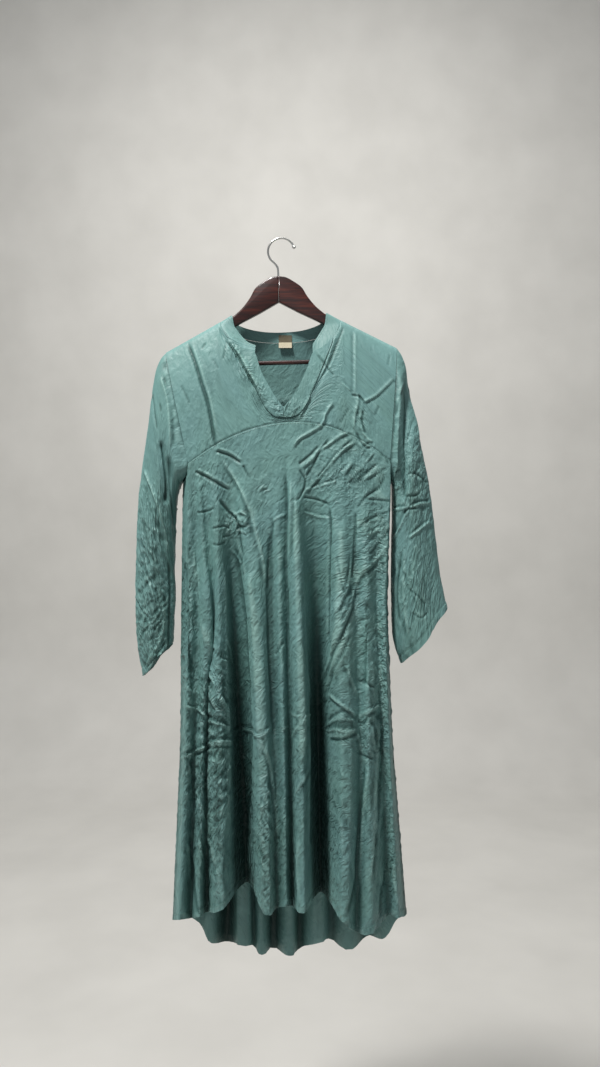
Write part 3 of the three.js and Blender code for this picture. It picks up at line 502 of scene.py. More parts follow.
def front_point(line, r):
    top = front_top(line)
    down = (r / PANEL_ROWS) ** ROW_CROWDING
    z = mix(top[2] - SEAM_GAP, read_smooth(FRONT_FOLDS["hem_z"], line), down)
    if line in (0, LAST_FRONT):
        return side_seam("left" if line == 0 else "right", z)
    side = clamp01(min(line, LAST_FRONT - line))
    x = mix(top[0], fold_x(line, z), clamp01((top[2] - z) / TOP_BLEND["across"]))
    mean = -CHEST_DEPTH["front"] - HEM_SPREAD["front"]
    fold = (read_smooth(FRONT_FOLDS["depth"], line) - mean * side) * fold_share(z)
    body = on_front(x, z)[1] - HEM_SPREAD["front"] * skirt_share(z)
    edge = mix(top[1], 0, clamp01((top[2] - z) / TOP_BLEND["depth"])) if side < 1 else top[1]
    y = mix(edge, body, side) + fold * clamp01((top[2] - z) / TOP_BLEND["folds"])
    return np.array([x, top[1] if r == 0 else y, z])


def front_grid():
    lines = [i / FOLD_STEPS for i in range(LAST_FRONT * FOLD_STEPS + 1)]
    return np.array([[front_point(line, r) for line in lines] for r in range(PANEL_ROWS + 1)])


print("front panel grid", front_grid().shape)


# %% [markdown]
# The back has no yoke. Its upper rows follow the armholes and the neck, and its lower rows meet the
# front at the side seams, so that both panels share one edge there.

# %% The back panel, one piece from the shoulders to the hem
def back_top():
    count = SHOULDER_COLUMNS * BACK_STEPS
    neck = refined(BACK_NECK)
    right = [(mix(SHOULDER_TIP["right"], neck["x"][0], i / count), 0) for i in range(count)]
    left = [(mix(SHOULDER_TIP["left"], neck["x"][-1], i / count), 0) for i in range(count)]
    return right + list(zip(neck["x"], neck["drop"])) + left[::-1]


LAST_BACK = len(BACK_FOLDS["hem"]) - 1


def back_row(r, top):
    upper_rows = len(BACK_UPPER["share"]) - 1
    upper = r <= upper_rows
    lower = clamp01((r - upper_rows) / BACK_LOWER_ROWS)
    share = BACK_UPPER["share"][r] if upper else 1
    if upper:
        left, right = (armhole(s, "back", BACK_UPPER["place"][r]) for s in ("left", "right"))
    else:
        left = side_seam("left", mix(UNDERARM_Z, FRONT_FOLDS["hem_z"][0], lower))
        right = side_seam("right", mix(UNDERARM_Z, FRONT_FOLDS["hem_z"][-1], lower))
    row = []
    for c, (top_x, drop) in enumerate(top):
        line = c / (len(top) - 1) * LAST_BACK
        top_z = base_z(top_x) - drop
        hem_z = read_smooth(BACK_FOLDS["hem_z"], line)
        z = mix(top_z, UNDERARM_Z, share) if upper else mix(UNDERARM_Z, hem_z, lower)
        top_share = (top_x - SHOULDER_TIP["right"]) / (SHOULDER_TIP["left"] - SHOULDER_TIP["right"])
        hems = BACK_FOLDS["hem"]
        hem_share = (read_smooth(hems, line) - hems[0]) / (hems[-1] - hems[0])
        half = BACK_BLEND["upper_share"]
        across = mix(top_share, hem_share, share * half if upper else mix(half, 1, lower))
        on_bend = upper and share <= BACK_BEND_SHARE
        x = top_x if on_bend else mix(right[0], left[0], across)
        side = clamp01(min(line, LAST_BACK - line) / BACK_BLEND["side_lines"])
        body = on_back(x, z)[1] + HEM_SPREAD["back"] * skirt_share(z)
        mean = CHEST_DEPTH["back"] + HEM_SPREAD["back"]
        fold = (read_smooth(BACK_FOLDS["depth"], line) - mean) * fold_share(z)
        edge = mix(right[1], left[1], across)
        turned = clamp01((BACK_BLEND["start_z"] - z) / BACK_BLEND["fall"])
        y = body if z > BACK_BLEND["start_z"] else mix(edge, body + fold, mix(1, side, turned))
        row.append(np.array([x, max(y, 0) + SIDE_GAP, z]))
    row[0] = right + (0, SIDE_GAP, 0)
    row[-1] = left + (0, SIDE_GAP, 0)
    return row


def back_grid():
    top = back_top()
    rows = len(BACK_UPPER["share"]) + BACK_LOWER_ROWS
    return np.array([back_row(r, top) for r in range(rows)])


print("back panel grid", back_grid().shape)


# %% [markdown]
# A sleeve starts on the armhole's own edge and only then becomes a tube. The neckband is a narrow
# strip that stands on the neck seam and leans on the hanger's arms.

# %% The sleeves, the neckband and the facings
def sleeve_grid(side):
    outwards = -1 if side == "left" else 1
    near, far = ("front", "back") if side == "left" else ("back", "front")
    half = len(RING_PLACES) - 1
    places = [(near, p) for p in RING_PLACES] + [(far, p) for p in RING_PLACES[half - 1 : 0 : -1]]
    tip = armhole(side, "front", 0)
    rows = SLEEVE_SECTIONS[side]
    first = [armhole(side, face, place) + (outwards * SIDE_GAP, 0, 0) for face, place in places]
    rings = [first]
    count = len(rows["front"])
    for k in range(count):
        ring = []
        for face, place in places:
            edge = armhole(side, face, place)
            fallen = clamp01((tip[2] - armhole(side, "front", place)[2]) / (tip[2] - UNDERARM_Z))
            turn = math.acos(1 - 2 * fallen)
            across = (1 - math.cos(turn)) / 2
            facing = -1 if face == "front" else 1
            own = facing * rows[face][k] * math.sin(turn)
            y = mix(own, edge[1], rows["armhole"][k])
            wave = SLEEVE_FOLDS["depth"] * k / (count - 1)
            phase = SLEEVE_FOLDS["count"] * facing * turn + SLEEVE_FOLDS["turn"]
            fold = wave * math.cos(phase) * math.sin(turn)
            x = mix(rows["outer_x"][k], rows["inner_x"][k], across)
            z = mix(rows["outer_z"][k], rows["inner_z"][k], across)
            ring.append(np.array([x + outwards * fold * SLEEVE_FOLDS["across"], y + fold * facing, z]))
        rings.append(ring)
    return np.array(rings)


def band_grid(rows=3):
    sections = []
    for side, neck in (("right", NECK_RIGHT), ("left", NECK_LEFT)):
        tops = BAND_TOP[side]
        made = []
        for i, along in enumerate(tops["along"].astype(int)):
            x = tops["x"][i]
            rest = arm_top_z(x) if along < ON_ARM_ROWS else base_z(x)
            seam = on_front(neck["x"][along], base_z(neck["x"][along]) - neck["drop"][along])
            made.append((seam, np.array([x, tops["y"][i], rest + tops["lift"][i]])))
        sections.append(made)
    tops = refined(BAND_TOP["back"])
    neck = refined(BACK_NECK)
    back = [
        (
            on_back(x, base_z(x) - drop) + (0, SIDE_GAP, 0),
            np.array([tops["x"][i], tops["y"][i], tops["z"][i]]),
        )
        for i, (x, drop) in enumerate(zip(neck["x"], neck["drop"]))
    ]
    right, left = sections
    ordered = right[::-1] + back[1:-1] + left
    grid = []
    for r in range(rows + 1):
        row = []
        for seam, top in ordered:
            height = np.linalg.norm(top - seam)
            row.append(mix(top, seam, r / rows * (1 - SEAM_GAP / height)))
        grid.append(row)
    return np.array(grid)


print("sleeve grid", sleeve_grid("left").shape, "band grid", band_grid().shape)

# %% [markdown]
# ## Finer grids
#
# A CAD wall has few faces, so its folds have edges. Here each grid is divided again on curves that
# pass through the same points and never overshoot them, with steps of even length, so that creases
# of a few millimetres have faces to bend.


# %% Dividing a grid evenly
def slopes_of(values, at):
    """Slopes of a curve through the values that keeps their rises and falls, along axis 0."""
    step = np.diff(at)[:, None]
    rise = np.diff(values, axis=0) / step
    slopes = np.zeros_like(values)
    slopes[0], slopes[-1] = rise[0], rise[-1]
    before, after = rise[:-1], rise[1:]
    same = before * after > 0
    w1 = 2 * step[1:] + step[:-1]
    w2 = step[1:] + 2 * step[:-1]
    safe_before = np.where(same, before, 1)
    safe_after = np.where(same, after, 1)
    slopes[1:-1] = np.where(same, (w1 + w2) / (w1 / safe_before + w2 / safe_after), 0)
    return slopes


def resampled(values, at, new):
    """Rows of values at places at, read at the places new."""
    shape = values.shape
    flat = values.reshape(shape[0], -1)
    slopes = slopes_of(flat, at)
    low = np.clip(np.searchsorted(at, new, side="right") - 1, 0, len(at) - 2)
    step = (at[low + 1] - at[low])[:, None]
    t = ((new - at[low]) / (at[low + 1] - at[low]))[:, None]
    a, b, ma, mb = flat[low], flat[low + 1], slopes[low], slopes[low + 1]
    made = (2 * t**3 - 3 * t**2 + 1) * a + (t**3 - 2 * t**2 + t) * step * ma
    made += (3 * t**2 - 2 * t**3) * b + (t**3 - t**2) * step * mb
    return made.reshape(len(new), *shape[1:])


def finer_along(grid, count, crowding=0):
    """The grid with count rows, evenly spaced, or closer at its start where crowding is above 0."""
    lengths = np.linalg.norm(np.diff(grid, axis=0), axis=2).mean(1)
    at = np.concatenate([[0], np.cumsum(lengths)])
    share = np.linspace(0, 1, count)
    return resampled(grid, at, at[-1] * mix(share, share**2, crowding))


def finer(grid, rows, columns, ring=False, crowding=0):
    if ring:
        count = grid.shape[1]
        grid = np.concatenate([grid[:, -3:], grid, grid[:, :4]], axis=1)
        lengths = np.linalg.norm(np.diff(grid, axis=1), axis=2).mean(0)
        at = np.concatenate([[0], np.cumsum(lengths)])
        places = np.linspace(at[3], at[3 + count], columns + 1)[:-1]
        across = resampled(grid.transpose(1, 0, 2), at, places)
    else:
        across = finer_along(grid.transpose(1, 0, 2), columns)
    return finer_along(across.transpose(1, 0, 2), rows, crowding)


def normals_of(grid, ring=False):
    """Outward directions on a grid whose rows run down and whose columns run round the body."""
    if ring:
        across = np.roll(grid, -1, 1) - np.roll(grid, 1, 1)
    else:
        across = np.gradient(grid, axis=1)
    down = np.gradient(grid, axis=0)
    normal = np.cross(down, across)
    return normal / np.maximum(np.linalg.norm(normal, axis=2, keepdims=True), 1e-9)


GRIDS = {
    "front_yoke": (yoke_grid(), 151, 241, False),
    "front_panel": (front_grid(), 334, 262, False),
    "back_panel": (back_grid(), 319, 244, False),
    "sleeve_left": (sleeve_grid("left"), 241, 150, True),
    "sleeve_right": (sleeve_grid("right"), 241, 150, True),
    "neckband": (band_grid(), 19, 190, False),
}
CROWDING = {"front_panel": 0.4, "back_panel": 0.3}  # the bust has the finest creases
shells = {
    name: finer(grid, rows, columns, ring, CROWDING.get(name, 0))
    for name, (grid, rows, columns, ring) in GRIDS.items()
}
for name, grid in shells.items():
    print(name, grid.shape[:2])

# %% [markdown]
# ## The creases that show
#
# Satin that was folded small keeps sharp ridges, and where it hangs from the shoulders and the bust
# seam it pulls into long soft ones. Each crease is a line through a few points, seen from the front,
# with a width, a height and a side. A ridge has a positive height and a trough a negative one, and
# side says on which hand the cloth dips beside it. They are placed from the photograph and
# pressed into the shells along their normals, which is easier to steer than a simulation.

# %% From a point of the dress to the photograph
PHOTO = {"focal": 800, "distance": 1424, "x": 33.8, "z": -524, "middle_x": 300, "middle_y": 533.5}
Crease = namedtuple("Crease", "width height side points")


def seen(points):
    """Where points of the dress lie in the photograph, and how many millimetres a pixel is there."""
    depth = PHOTO["distance"] + points[..., 1]
    across = PHOTO["middle_x"] + PHOTO["focal"] * (points[..., 0] - PHOTO["x"]) / depth
    down = PHOTO["middle_y"] - PHOTO["focal"] * (points[..., 2] - PHOTO["z"]) / depth
    return across, down, depth / PHOTO["focal"]


# %% [markdown]
# Across the yoke run two long fold lines from storage, and a fan of short ones gathers at the right
# of the bust. Columns and rows of the photograph are the quickest way to say where each one lies.

# %% Creases of the yoke and the bust
YOKE_CREASES = [Crease(*row) for row in [
    (4, -2.8, 0, [(187, 341), (195, 362), (202, 385), (208, 404), (213, 432), (216, 450)]),
    (4, 1.6, 0, [(192, 343), (200, 366), (207, 388), (212, 406), (217, 432)]),
    (4.5, -2.2, 1, [(219, 330), (229, 344), (239, 360), (249, 378), (259, 394)]),
    (3, -2.2, 1, [(218, 327), (228, 340), (238, 357), (248, 375), (257, 390)]),
    (3, 1.6, -1, [(226, 338), (236, 350), (246, 366), (255, 384), (264, 402)]),
    (2.5, -1, 0, [(212, 358), (219, 369)]),
    (2.5, -1.2, 0, [(206, 343), (202, 349)]),
    (2.5, -1.2, 0, [(227, 340), (223, 360)]),
    (3, -1.2, 0, [(158, 364), (165, 374), (172, 387)]),
    (3, -1.2, 0, [(181, 385), (186, 395), (190, 404)]),
    (3, 2, -1, [(355, 330), (355, 362), (355, 394)]),
    (2.6, -1.8, 1, [(314, 352), (324, 363), (333, 374), (343, 384)]),
    (2.6, 1.6, 1, [(333, 374), (343, 384), (351, 391)]),
    (3, 2.2, 1, [(395, 377), (386, 386), (375, 396), (361, 403)]),
    (2.6, -1, 0, [(390, 354), (388, 366)]),
    (3, 1.8, 1, [(338, 328), (331, 350), (324, 370), (314, 390), (304, 408), (298, 421)]),
    (2.6, -1.6, 0, [(344, 326), (334, 352), (328, 368)]),
    (3, -1.6, 0, [(326, 368), (318, 383), (309, 398)]),
    (3.4, 2.2, 1, [(335, 400), (326, 413), (322, 424), (311, 432), (299, 439), (290, 452)]),
    (2.6, -2.4, 0, [(351, 395), (360, 397), (365, 404)]),
    (2.8, 2.2, 1, [(357, 393), (358, 402), (355, 415), (354, 430)]),
    (2.6, -2.4, 0, [(364, 410), (362, 420), (366, 434)]),
    (2.6, -1.8, 0, [(349, 408), (345, 414), (340, 424)]),
    (2.6, -1.4, 0, [(379, 406), (375, 416)]),
    (2.6, 1.8, 0, [(362, 432), (369, 440), (373, 441)]),
    (2.6, -2, 0, [(356, 432), (364, 446), (371, 448)]),
    (3.2, 2.2, 1, [(352, 431), (340, 436), (329, 444), (320, 450), (312, 459), (299, 470)]),
    (2.8, -2.2, 0, [(330, 439), (319, 452), (313, 466), (305, 478)]),
    (2.8, -2, 0, [(319, 446), (310, 455), (298, 465)]),
    (2.8, 2.2, 1, [(360, 439), (344, 449), (333, 460), (323, 472), (313, 484), (304, 492)]),
    (2.8, -2.2, 0, [(354, 438), (337, 453), (326, 467), (315, 480)]),
    (2.8, 2, 1, [(369, 444), (357, 454), (349, 467), (343, 476)]),
    (2.8, -2, 0, [(371, 441), (358, 452), (351, 463)]),
    (2.8, 2, 1, [(375, 451), (364, 464), (354, 475), (347, 482)]),
    (2.8, -2, 0, [(379, 462), (370, 470), (362, 477), (358, 484)]),
    (2.6, 1.8, 1, [(389, 463), (376, 472), (366, 478), (354, 487)]),
    (2.6, -2.2, 0, [(386, 472), (379, 487), (366, 497), (356, 509)]),
    (2.6, -2, 0, [(298, 468), (305, 479), (305, 486), (300, 497), (294, 502)]),
    (2.6, -2, 0, [(303, 497), (318, 500), (330, 505)]),
    (2.6, 1.8, 1, [(305, 490), (320, 486), (339, 480)]),
    (2.8, 2, 1, [(304, 512), (316, 516), (329, 518)]),
    (2.6, -1.8, 0, [(366, 499), (378, 500), (391, 501)]),
    (2.8, -1.8, 0, [(356, 530), (366, 522), (376, 516), (389, 511)]),
    (2.8, 2, 1, [(367, 535), (380, 529), (390, 525)]),
    (2.8, -2.2, 0, [(390, 529), (379, 543), (369, 555)]),
    (2.8, 2, 1, [(391, 545), (382, 552), (374, 561)]),
]]

# %% [markdown]
# The bust pulls long ridges down into the skirt. The wide rows are soft swells in the cloth, and the
# narrow ones beside them are the lines where it was pressed.

# %% Creases of the left bust, and the long soft ones of the skirt
SKIRT_CREASES = [Crease(*row) for row in [
    (3, -2.6, 0, [(216, 451), (222, 453), (230, 456), (242, 464)]),
    (2.6, 1, 0, [(217, 448), (230, 452), (243, 461)]),
    (3, -2.6, 0, [(195, 471), (204, 476), (213, 481), (231, 491)]),
    (2.6, 1, 0, [(197, 469), (212, 476), (231, 487)]),
    (4, 2.8, -1, [(221, 458), (232, 474), (241, 490), (250, 511), (255, 529), (263, 560), (266, 590)]),
    (3, -2, 0, [(243, 465), (246, 471), (250, 478)]),
    (3.4, -3, 0, [(219, 499), (228, 511), (237, 522), (241, 545), (243, 566)]),
    (3, 2, 0, [(233, 517), (240, 512), (247, 515)]),
    (3, -2.6, 0, [(235, 524), (243, 527), (249, 523)]),
    (2.6, 1.8, 0, [(240, 530), (247, 534)]),
    (2.6, -1.6, 0, [(196, 513), (208, 511), (214, 508)]),
    (2.6, -1.8, 0, [(211, 529), (224, 526), (230, 529)]),
    (2.6, -1.6, 0, [(222, 537), (231, 535)]),
    (2.6, -1.6, 0, [(212, 544), (219, 545), (226, 541)]),
    (9, 5, 0, [(222, 560), (224, 620), (226, 700), (227, 780), (226, 850)]),
    (8, 5, 0, [(206, 560), (210, 630), (212, 700), (210, 780), (208, 860)]),
    (10, -6, 0, [(234, 540), (238, 580), (244, 630), (248, 700), (249, 780), (247, 850)]),
    (9, 5, 0, [(249, 570), (254, 620), (258, 700), (262, 760)]),
    (8, -4.5, 0, [(270, 530), (270, 590), (272, 660), (275, 740)]),
    (8, 5, 0, [(295, 480), (296, 540), (298, 610), (301, 690), (303, 770)]),
    (12, -3, 0, [(314, 520), (317, 580), (319, 640), (320, 700), (320, 760)]),
    (11, 5, 0, [(341, 520), (341, 570), (338, 630), (334, 680)]),
    (12, -5, 0, [(367, 600), (366, 640), (362, 690)]),
    (9, 4, 0, [(198, 560), (203, 610), (211, 670), (219, 720)]),
    (8, -4, 0, [(184, 560), (187, 620), (194, 690)]),
    (3.4, -3, 1, [(285, 471), (287, 502), (286, 559), (288, 609), (288, 697)]),
    (3, 2.2, 0, [(291, 478), (291, 520), (290, 560)]),
    (2.8, -2.6, 0, [(273, 521), (271, 540), (269, 562), (268, 591)]),
    (2.6, 1.6, 0, [(273, 521), (279, 517), (285, 515)]),
    (2.6, 1.6, -1, [(257, 493), (262, 488), (268, 487)]),
    (3, -2.8, 0, [(329, 505), (331, 530), (330, 559), (329, 610), (329, 655)]),
    (3, -2.6, 0, [(356, 510), (355, 535), (354, 560), (352, 580)]),
    (4, 2.4, -1, [(194, 540), (194, 566), (197, 590), (203, 623), (212, 667), (221, 700), (228, 726)]),
    (3, 1.8, 0, [(232, 550), (240, 565)]),
    (3.6, 2.8, -1, [(240, 548), (246, 577), (248, 609), (249, 653), (253, 700)]),
    (4, -3, 0, [(235, 560), (239, 590), (243, 630), (247, 690)]),
    (3, -2.6, 0, [(268, 591), (269, 622), (270, 653), (273, 700), (275, 738)]),
    (3.4, 2.6, 1, [(301, 550), (303, 609), (306, 667), (310, 697)]),
    (2.8, -2, 0, [(336, 550), (341, 580), (344, 592), (347, 576), (350, 557)]),
    (3, 2.2, 1, [(387, 551), (365, 570), (346, 594), (336, 614)]),
    (3, -2.2, 0, [(376, 560), (358, 578), (344, 598), (339, 612)]),
    (3.2, 2.4, 1, [(381, 559), (359, 578), (349, 609), (336, 644), (330, 662), (311, 694)]),
    (3, -2.2, 0, [(355, 605), (343, 633), (331, 662)]),
    (3, -2.2, 0, [(352, 632), (336, 667), (325, 697)]),
    (2.8, 1.8, 0, [(347, 667), (352, 682), (358, 697)]),
    (2.8, -2.2, 0, [(358, 681), (366, 683), (375, 688)]),
    (2.6, -1.8, 0, [(183, 676), (188, 684), (194, 691)]),
    (2.8, -2.4, 0, [(284, 641), (280, 647), (275, 655)]),
    (2.6, 1.8, 0, [(225, 640), (229, 652), (231, 664)]),
    (2.6, -1.8, 0, [(212, 646), (219, 656), (228, 660)]),
    (3, -2.2, 0, [(311, 690), (312, 745), (311, 790), (311, 850)]),
    (3, 1.8, 0, [(308, 700), (309, 745), (309, 800), (308, 860)]),
    (3, -2.2, 0, [(192, 752), (193, 784), (198, 826), (204, 852), (208, 880)]),
    (3, 2, 0, [(195, 784), (203, 815), (211, 843), (214, 862)]),
    (3, -2.4, 0, [(365, 760), (361, 799), (357, 846), (355, 884), (346, 920)]),
    (3, 1.8, 0, [(369, 765), (365, 800), (361, 846), (359, 884)]),
    (3, 2, 0, [(379, 721), (377, 760), (374, 830), (371, 880)]),
    (3, -2, 0, [(383, 725), (381, 770), (378, 830)]),
    (3, -2.6, 0, [(190, 830), (193, 870), (196, 900), (199, 916)]),
    (2.6, 1.8, 0, [(187, 840), (190, 880), (192, 915)]),
    (3, -2.2, 0, [(388, 854), (382, 894), (380, 918)]),
    (3, 2, 0, [(393, 861), (395, 885), (398, 906)]),
    (2.8, 1.8, 0, [(299, 840), (297, 870), (300, 905)]),
    (2.8, -1.8, 0, [(294, 850), (296, 880), (295, 905)]),
]]

# %% [markdown]
# The dress was folded across once before it was hung, and that line still crosses the skirt. It
# breaks up where it meets the upright folds, so it is many short creases and not one long one.

# %% Creases pressed in by the fold of the parcel, across the thighs
PACKING_CREASES = [Crease(*row) for row in [
    (3, 2.6, 1, [(184, 706), (192, 708), (200, 710), (209, 720), (220, 724), (229, 729)]),
    (3.4, 3, 1, [(179, 759), (188, 755), (197, 751), (212, 743), (222, 741), (231, 742)]),
    (3, -2, 0, [(196, 755), (212, 748), (230, 747)]),
    (3.2, 2.8, 1, [(232, 732), (239, 729), (248, 731), (260, 736), (266, 731), (272, 727)]),
    (3, 2.6, -1, [(260, 737), (264, 748), (270, 765), (273, 784), (276, 810), (278, 838)]),
    (2.8, 2, 1, [(290, 713), (300, 716), (311, 714)]),
    (2.8, 2.2, 1, [(304, 718), (298, 728), (292, 738)]),
    (2.8, -2.2, 0, [(311, 707), (319, 705), (328, 700)]),
    (3, 3, 0, [(328, 694), (337, 701), (347, 709), (356, 716)]),
    (2.6, -2.4, 0, [(327, 722), (333, 716), (343, 711), (353, 713)]),
    (2.8, 2, 0, [(326, 726), (334, 720), (345, 719), (356, 721)]),
    (2.8, 3, 1, [(326, 731), (336, 729), (345, 731), (357, 729)]),
    (3.2, -3.4, 0, [(328, 739), (340, 740), (349, 738), (357, 733)]),
    (2.8, 2.4, 0, [(358, 717), (366, 713), (373, 709), (380, 705)]),
    (2.8, -2.4, 0, [(358, 720), (363, 724), (369, 716), (378, 711)]),
    (2.6, 2, 0, [(357, 733), (360, 743), (361, 752)]),
    (2.6, -2.4, 0, [(357, 752), (366, 757), (374, 759)]),
    (2.6, 1.8, 0, [(372, 726), (373, 738), (375, 752)]),
    (3, 2.4, 1, [(308, 768), (305, 778), (300, 786), (295, 796)]),
    (2.6, -1.8, 0, [(241, 748), (245, 758), (250, 768)]),
    (2.6, 1.8, 0, [(209, 690), (218, 708), (229, 728)]),
    (2.6, -1.8, 0, [(198, 694), (206, 708), (214, 718)]),
    (2.6, 1.6, 0, [(216, 742), (219, 737), (225, 731)]),
    (2.6, -1.8, 0, [(203, 757), (208, 768), (210, 778)]),
    (2.6, 1.8, 0, [(229, 764), (224, 774), (216, 788)]),
    (2.6, -1.6, 0, [(277, 710), (276, 722), (273, 737)]),
    (2.6, 1.8, 0, [(281, 731), (285, 728), (289, 725)]),
    (2.6, -1.8, 0, [(283, 822), (280, 835), (277, 848)]),
    (2.6, 1.4, 0, [(262, 812), (264, 800), (270, 790)]),
]]

# %% [markdown]
# A sleeve hangs flat and breaks at the elbow. A long fold follows the armhole on both sides.

# %% Creases of the sleeves
SLEEVE_CREASES = [Crease(*row) for row in [
    (3.6, 3.4, 1, [(160, 376), (165, 390), (168, 404), (170, 428), (170, 448)]),
    (3, -2.4, 0, [(152, 393), (154, 410), (157, 430)]),
    (2.6, -1.6, 0, [(160, 404), (161, 412)]),
    (5, -7, 0, [(160, 440), (164, 462), (166, 480), (166, 505)]),
    (3, 2.2, 0, [(157, 440), (161, 455), (164, 478), (164, 500)]),
    (5, -6, 0, [(168, 455), (171, 485), (175, 515), (176, 548)]),
    (3.4, 3.4, -1, [(144, 469), (149, 482), (154, 495), (162, 522), (169, 556)]),
    (5, -3, 0, [(145, 482), (150, 508), (157, 526), (165, 545)]),
    (3, -3, 0, [(169, 562), (170, 590), (169, 622), (168, 652)]),
    (2.8, 1.6, 0, [(163, 600), (164, 622), (160, 640), (152, 655), (144, 669)]),
    (2.8, -1.8, 0, [(166, 640), (158, 654), (147, 668)]),
    (2.4, -1.2, 0, [(140, 520), (148, 528), (156, 536)]),
    (2.4, -1.2, 0, [(141, 545), (149, 552), (157, 566)]),
    (2.4, 1.2, 0, [(146, 575), (152, 590), (156, 603)]),
    (2.4, -1.2, 0, [(140, 610), (149, 618), (155, 632)]),
    (6, 5, 0, [(397, 374), (397, 400), (396, 430), (395, 480)]),
    (7, -10, 0, [(409, 368), (408, 410), (406, 440), (404, 468), (402, 504)]),
    (2.8, 1.8, 1, [(407, 374), (402, 388), (397, 401), (393, 414)]),
    (2.8, -1.8, 0, [(406, 384), (400, 394), (394, 404)]),
    (2.6, -1.8, 0, [(392, 470), (396, 471), (400, 470)]),
    (2.6, 1.6, 0, [(392, 487), (396, 488), (401, 486)]),
    (3, 3, 1, [(390, 511), (398, 509), (408, 508)]),
    (3.4, 2.6, -1, [(408, 508), (404, 519), (399, 530), (393, 540)]),
    (2.6, -1.8, 0, [(408, 474), (414, 473), (421, 477), (427, 484)]),
    (2.6, -1.8, 0, [(404, 495), (413, 496), (421, 492)]),
    (3, 2.6, 1, [(410, 508), (419, 504), (430, 503)]),
    (3, -2.4, 0, [(404, 514), (409, 509), (417, 508)]),
    (3, 2.4, 1, [(409, 538), (419, 530), (430, 521)]),
    (3, -2, 0, [(414, 418), (410, 440), (407, 466)]),
    (2.8, 1.6, 0, [(411, 400), (416, 420), (418, 445)]),
    (3, -2.2, 0, [(402, 550), (399, 572), (397, 593), (400, 625)]),
    (2.8, 1.6, 0, [(406, 548), (404, 575), (404, 600), (409, 640)]),
    (2.6, -1.4, 0, [(408, 588), (418, 596), (426, 605)]),
    (2.6, -1.4, 0, [(412, 612), (421, 618), (428, 612)]),
]]
CREASES = YOKE_CREASES + SKIRT_CREASES + PACKING_CREASES + SLEEVE_CREASES
print(len(CREASES), "creases seen from the front")


# %% [markdown]
# A pressed crease is a narrow line with a softer dip on one or both sides. For each place of a shell
# the distance to the crease's line is found, and the height is read from that profile.

# %% Pressing a crease into a shell
CURVE_STEPS = 5


def smooth_line(points):
    """A line through the points, with CURVE_STEPS steps between two of them."""
    points = np.array(points, float)
    count = (len(points) - 1) * CURVE_STEPS + 1
    return np.array([
        [read_smooth(points[:, axis], i / CURVE_STEPS) for axis in (0, 1)] for i in range(count)
    ])


def beside_line(across, down, line):
    """Signed distance to a line, and the share of its length at the nearest point."""
    best = np.full(across.shape, 1e9)
    signed = np.zeros(across.shape)
    share = np.zeros(across.shape)
    for i, (start, end) in enumerate(zip(line[:-1], line[1:])):
        step = end - start
        length = np.hypot(*step)
        t = np.clip(((across - start[0]) * step[0] + (down - start[1]) * step[1]) / length**2, 0, 1)
        dx = across - start[0] - t * step[0]
        dy = down - start[1] - t * step[1]
        distance = np.hypot(dx, dy)
        nearer = distance < best
        best = np.where(nearer, distance, best)
        hand = np.sign(dx * step[1] - dy * step[0])
        signed = np.where(nearer, distance * hand, signed)
        share = np.where(nearer, (i + t) / (len(line) - 1), share)
    return signed, share


def eased(t):
    t = np.clip(t, 0, 1)
    return t * t * (3 - 2 * t)


REACH_WIDTHS = 6  # a crease ends this many widths from its line
PROFILE = {
    "power": 1.25,
    "one_dip": 0.5,
    "one_at": 2,
    "one_width": 1.3,
    "both_dip": 0.22,
    "both_at": 2.2,
    "both_width": 1.1,
}
CREASE_END = 0.14  # share of its length over which a crease fades at each end
SHARPER = {"width": 0.66, "height": 1.0, "below": 5}  # creases narrower than this are pressed sharper


def crease_relief(across, down, scale, creases):
    relief = np.zeros(across.shape)
    for crease in creases:
        line = smooth_line(crease.points)
        sharp = crease.width < SHARPER["below"]
        width = crease.width * (SHARPER["width"] if sharp else 1)
        height = crease.height * (SHARPER["height"] if sharp else 1)
        reach = REACH_WIDTHS * width / scale.min()
        low, high = line.min(0) - reach, line.max(0) + reach
        near = (across > low[0]) & (across < high[0]) & (down > low[1]) & (down < high[1])
        if not near.any():
            continue
        signed, share = beside_line(across[near], down[near], line)
        at = signed * scale[near] / width
        ends = eased(share / CREASE_END) * eased((1 - share) / CREASE_END)
        profile = np.exp(-np.abs(at) ** PROFILE["power"])
        if crease.side:
            beside = (at - PROFILE["one_at"] * crease.side) / PROFILE["one_width"]
            profile -= PROFILE["one_dip"] * np.exp(-beside**2)
        else:
            beside = (np.abs(at) - PROFILE["both_at"]) / PROFILE["both_width"]
            profile -= PROFILE["both_dip"] * np.exp(-beside**2)
        relief[near] += height * ends * profile
    return relief


print("a crease of 3 mm reaches", REACH_WIDTHS * 3, "mm to each side")

# %% [markdown]
# ## Fine crumple
#
# Between the long creases the whole cloth is crumpled. A noise that changes sign has sharp valleys
# where its size is smallest, which is how crumpled satin breaks the light. It is stretched along the
# way the cloth is pulled, and each stretch of the dress has its own direction and strength.


# %% A seeded noise on a grid of random directions
NOISE_SIZE = 128


def noise_field(u, v, seed):
    turns = np.random.default_rng(seed).uniform(0, 2 * np.pi, (NOISE_SIZE, NOISE_SIZE))
    iu, iv = np.floor(u).astype(int), np.floor(v).astype(int)
    fu, fv = u - iu, v - iv
    su, sv = eased(fu), eased(fv)
    total = 0
    for du in (0, 1):
        for dv in (0, 1):
            turn = turns[(iu + du) % NOISE_SIZE, (iv + dv) % NOISE_SIZE]
            value = np.cos(turn) * (fu - du) + np.sin(turn) * (fv - dv)
            total = total + value * (su if du else 1 - su) * (sv if dv else 1 - sv)
    return total


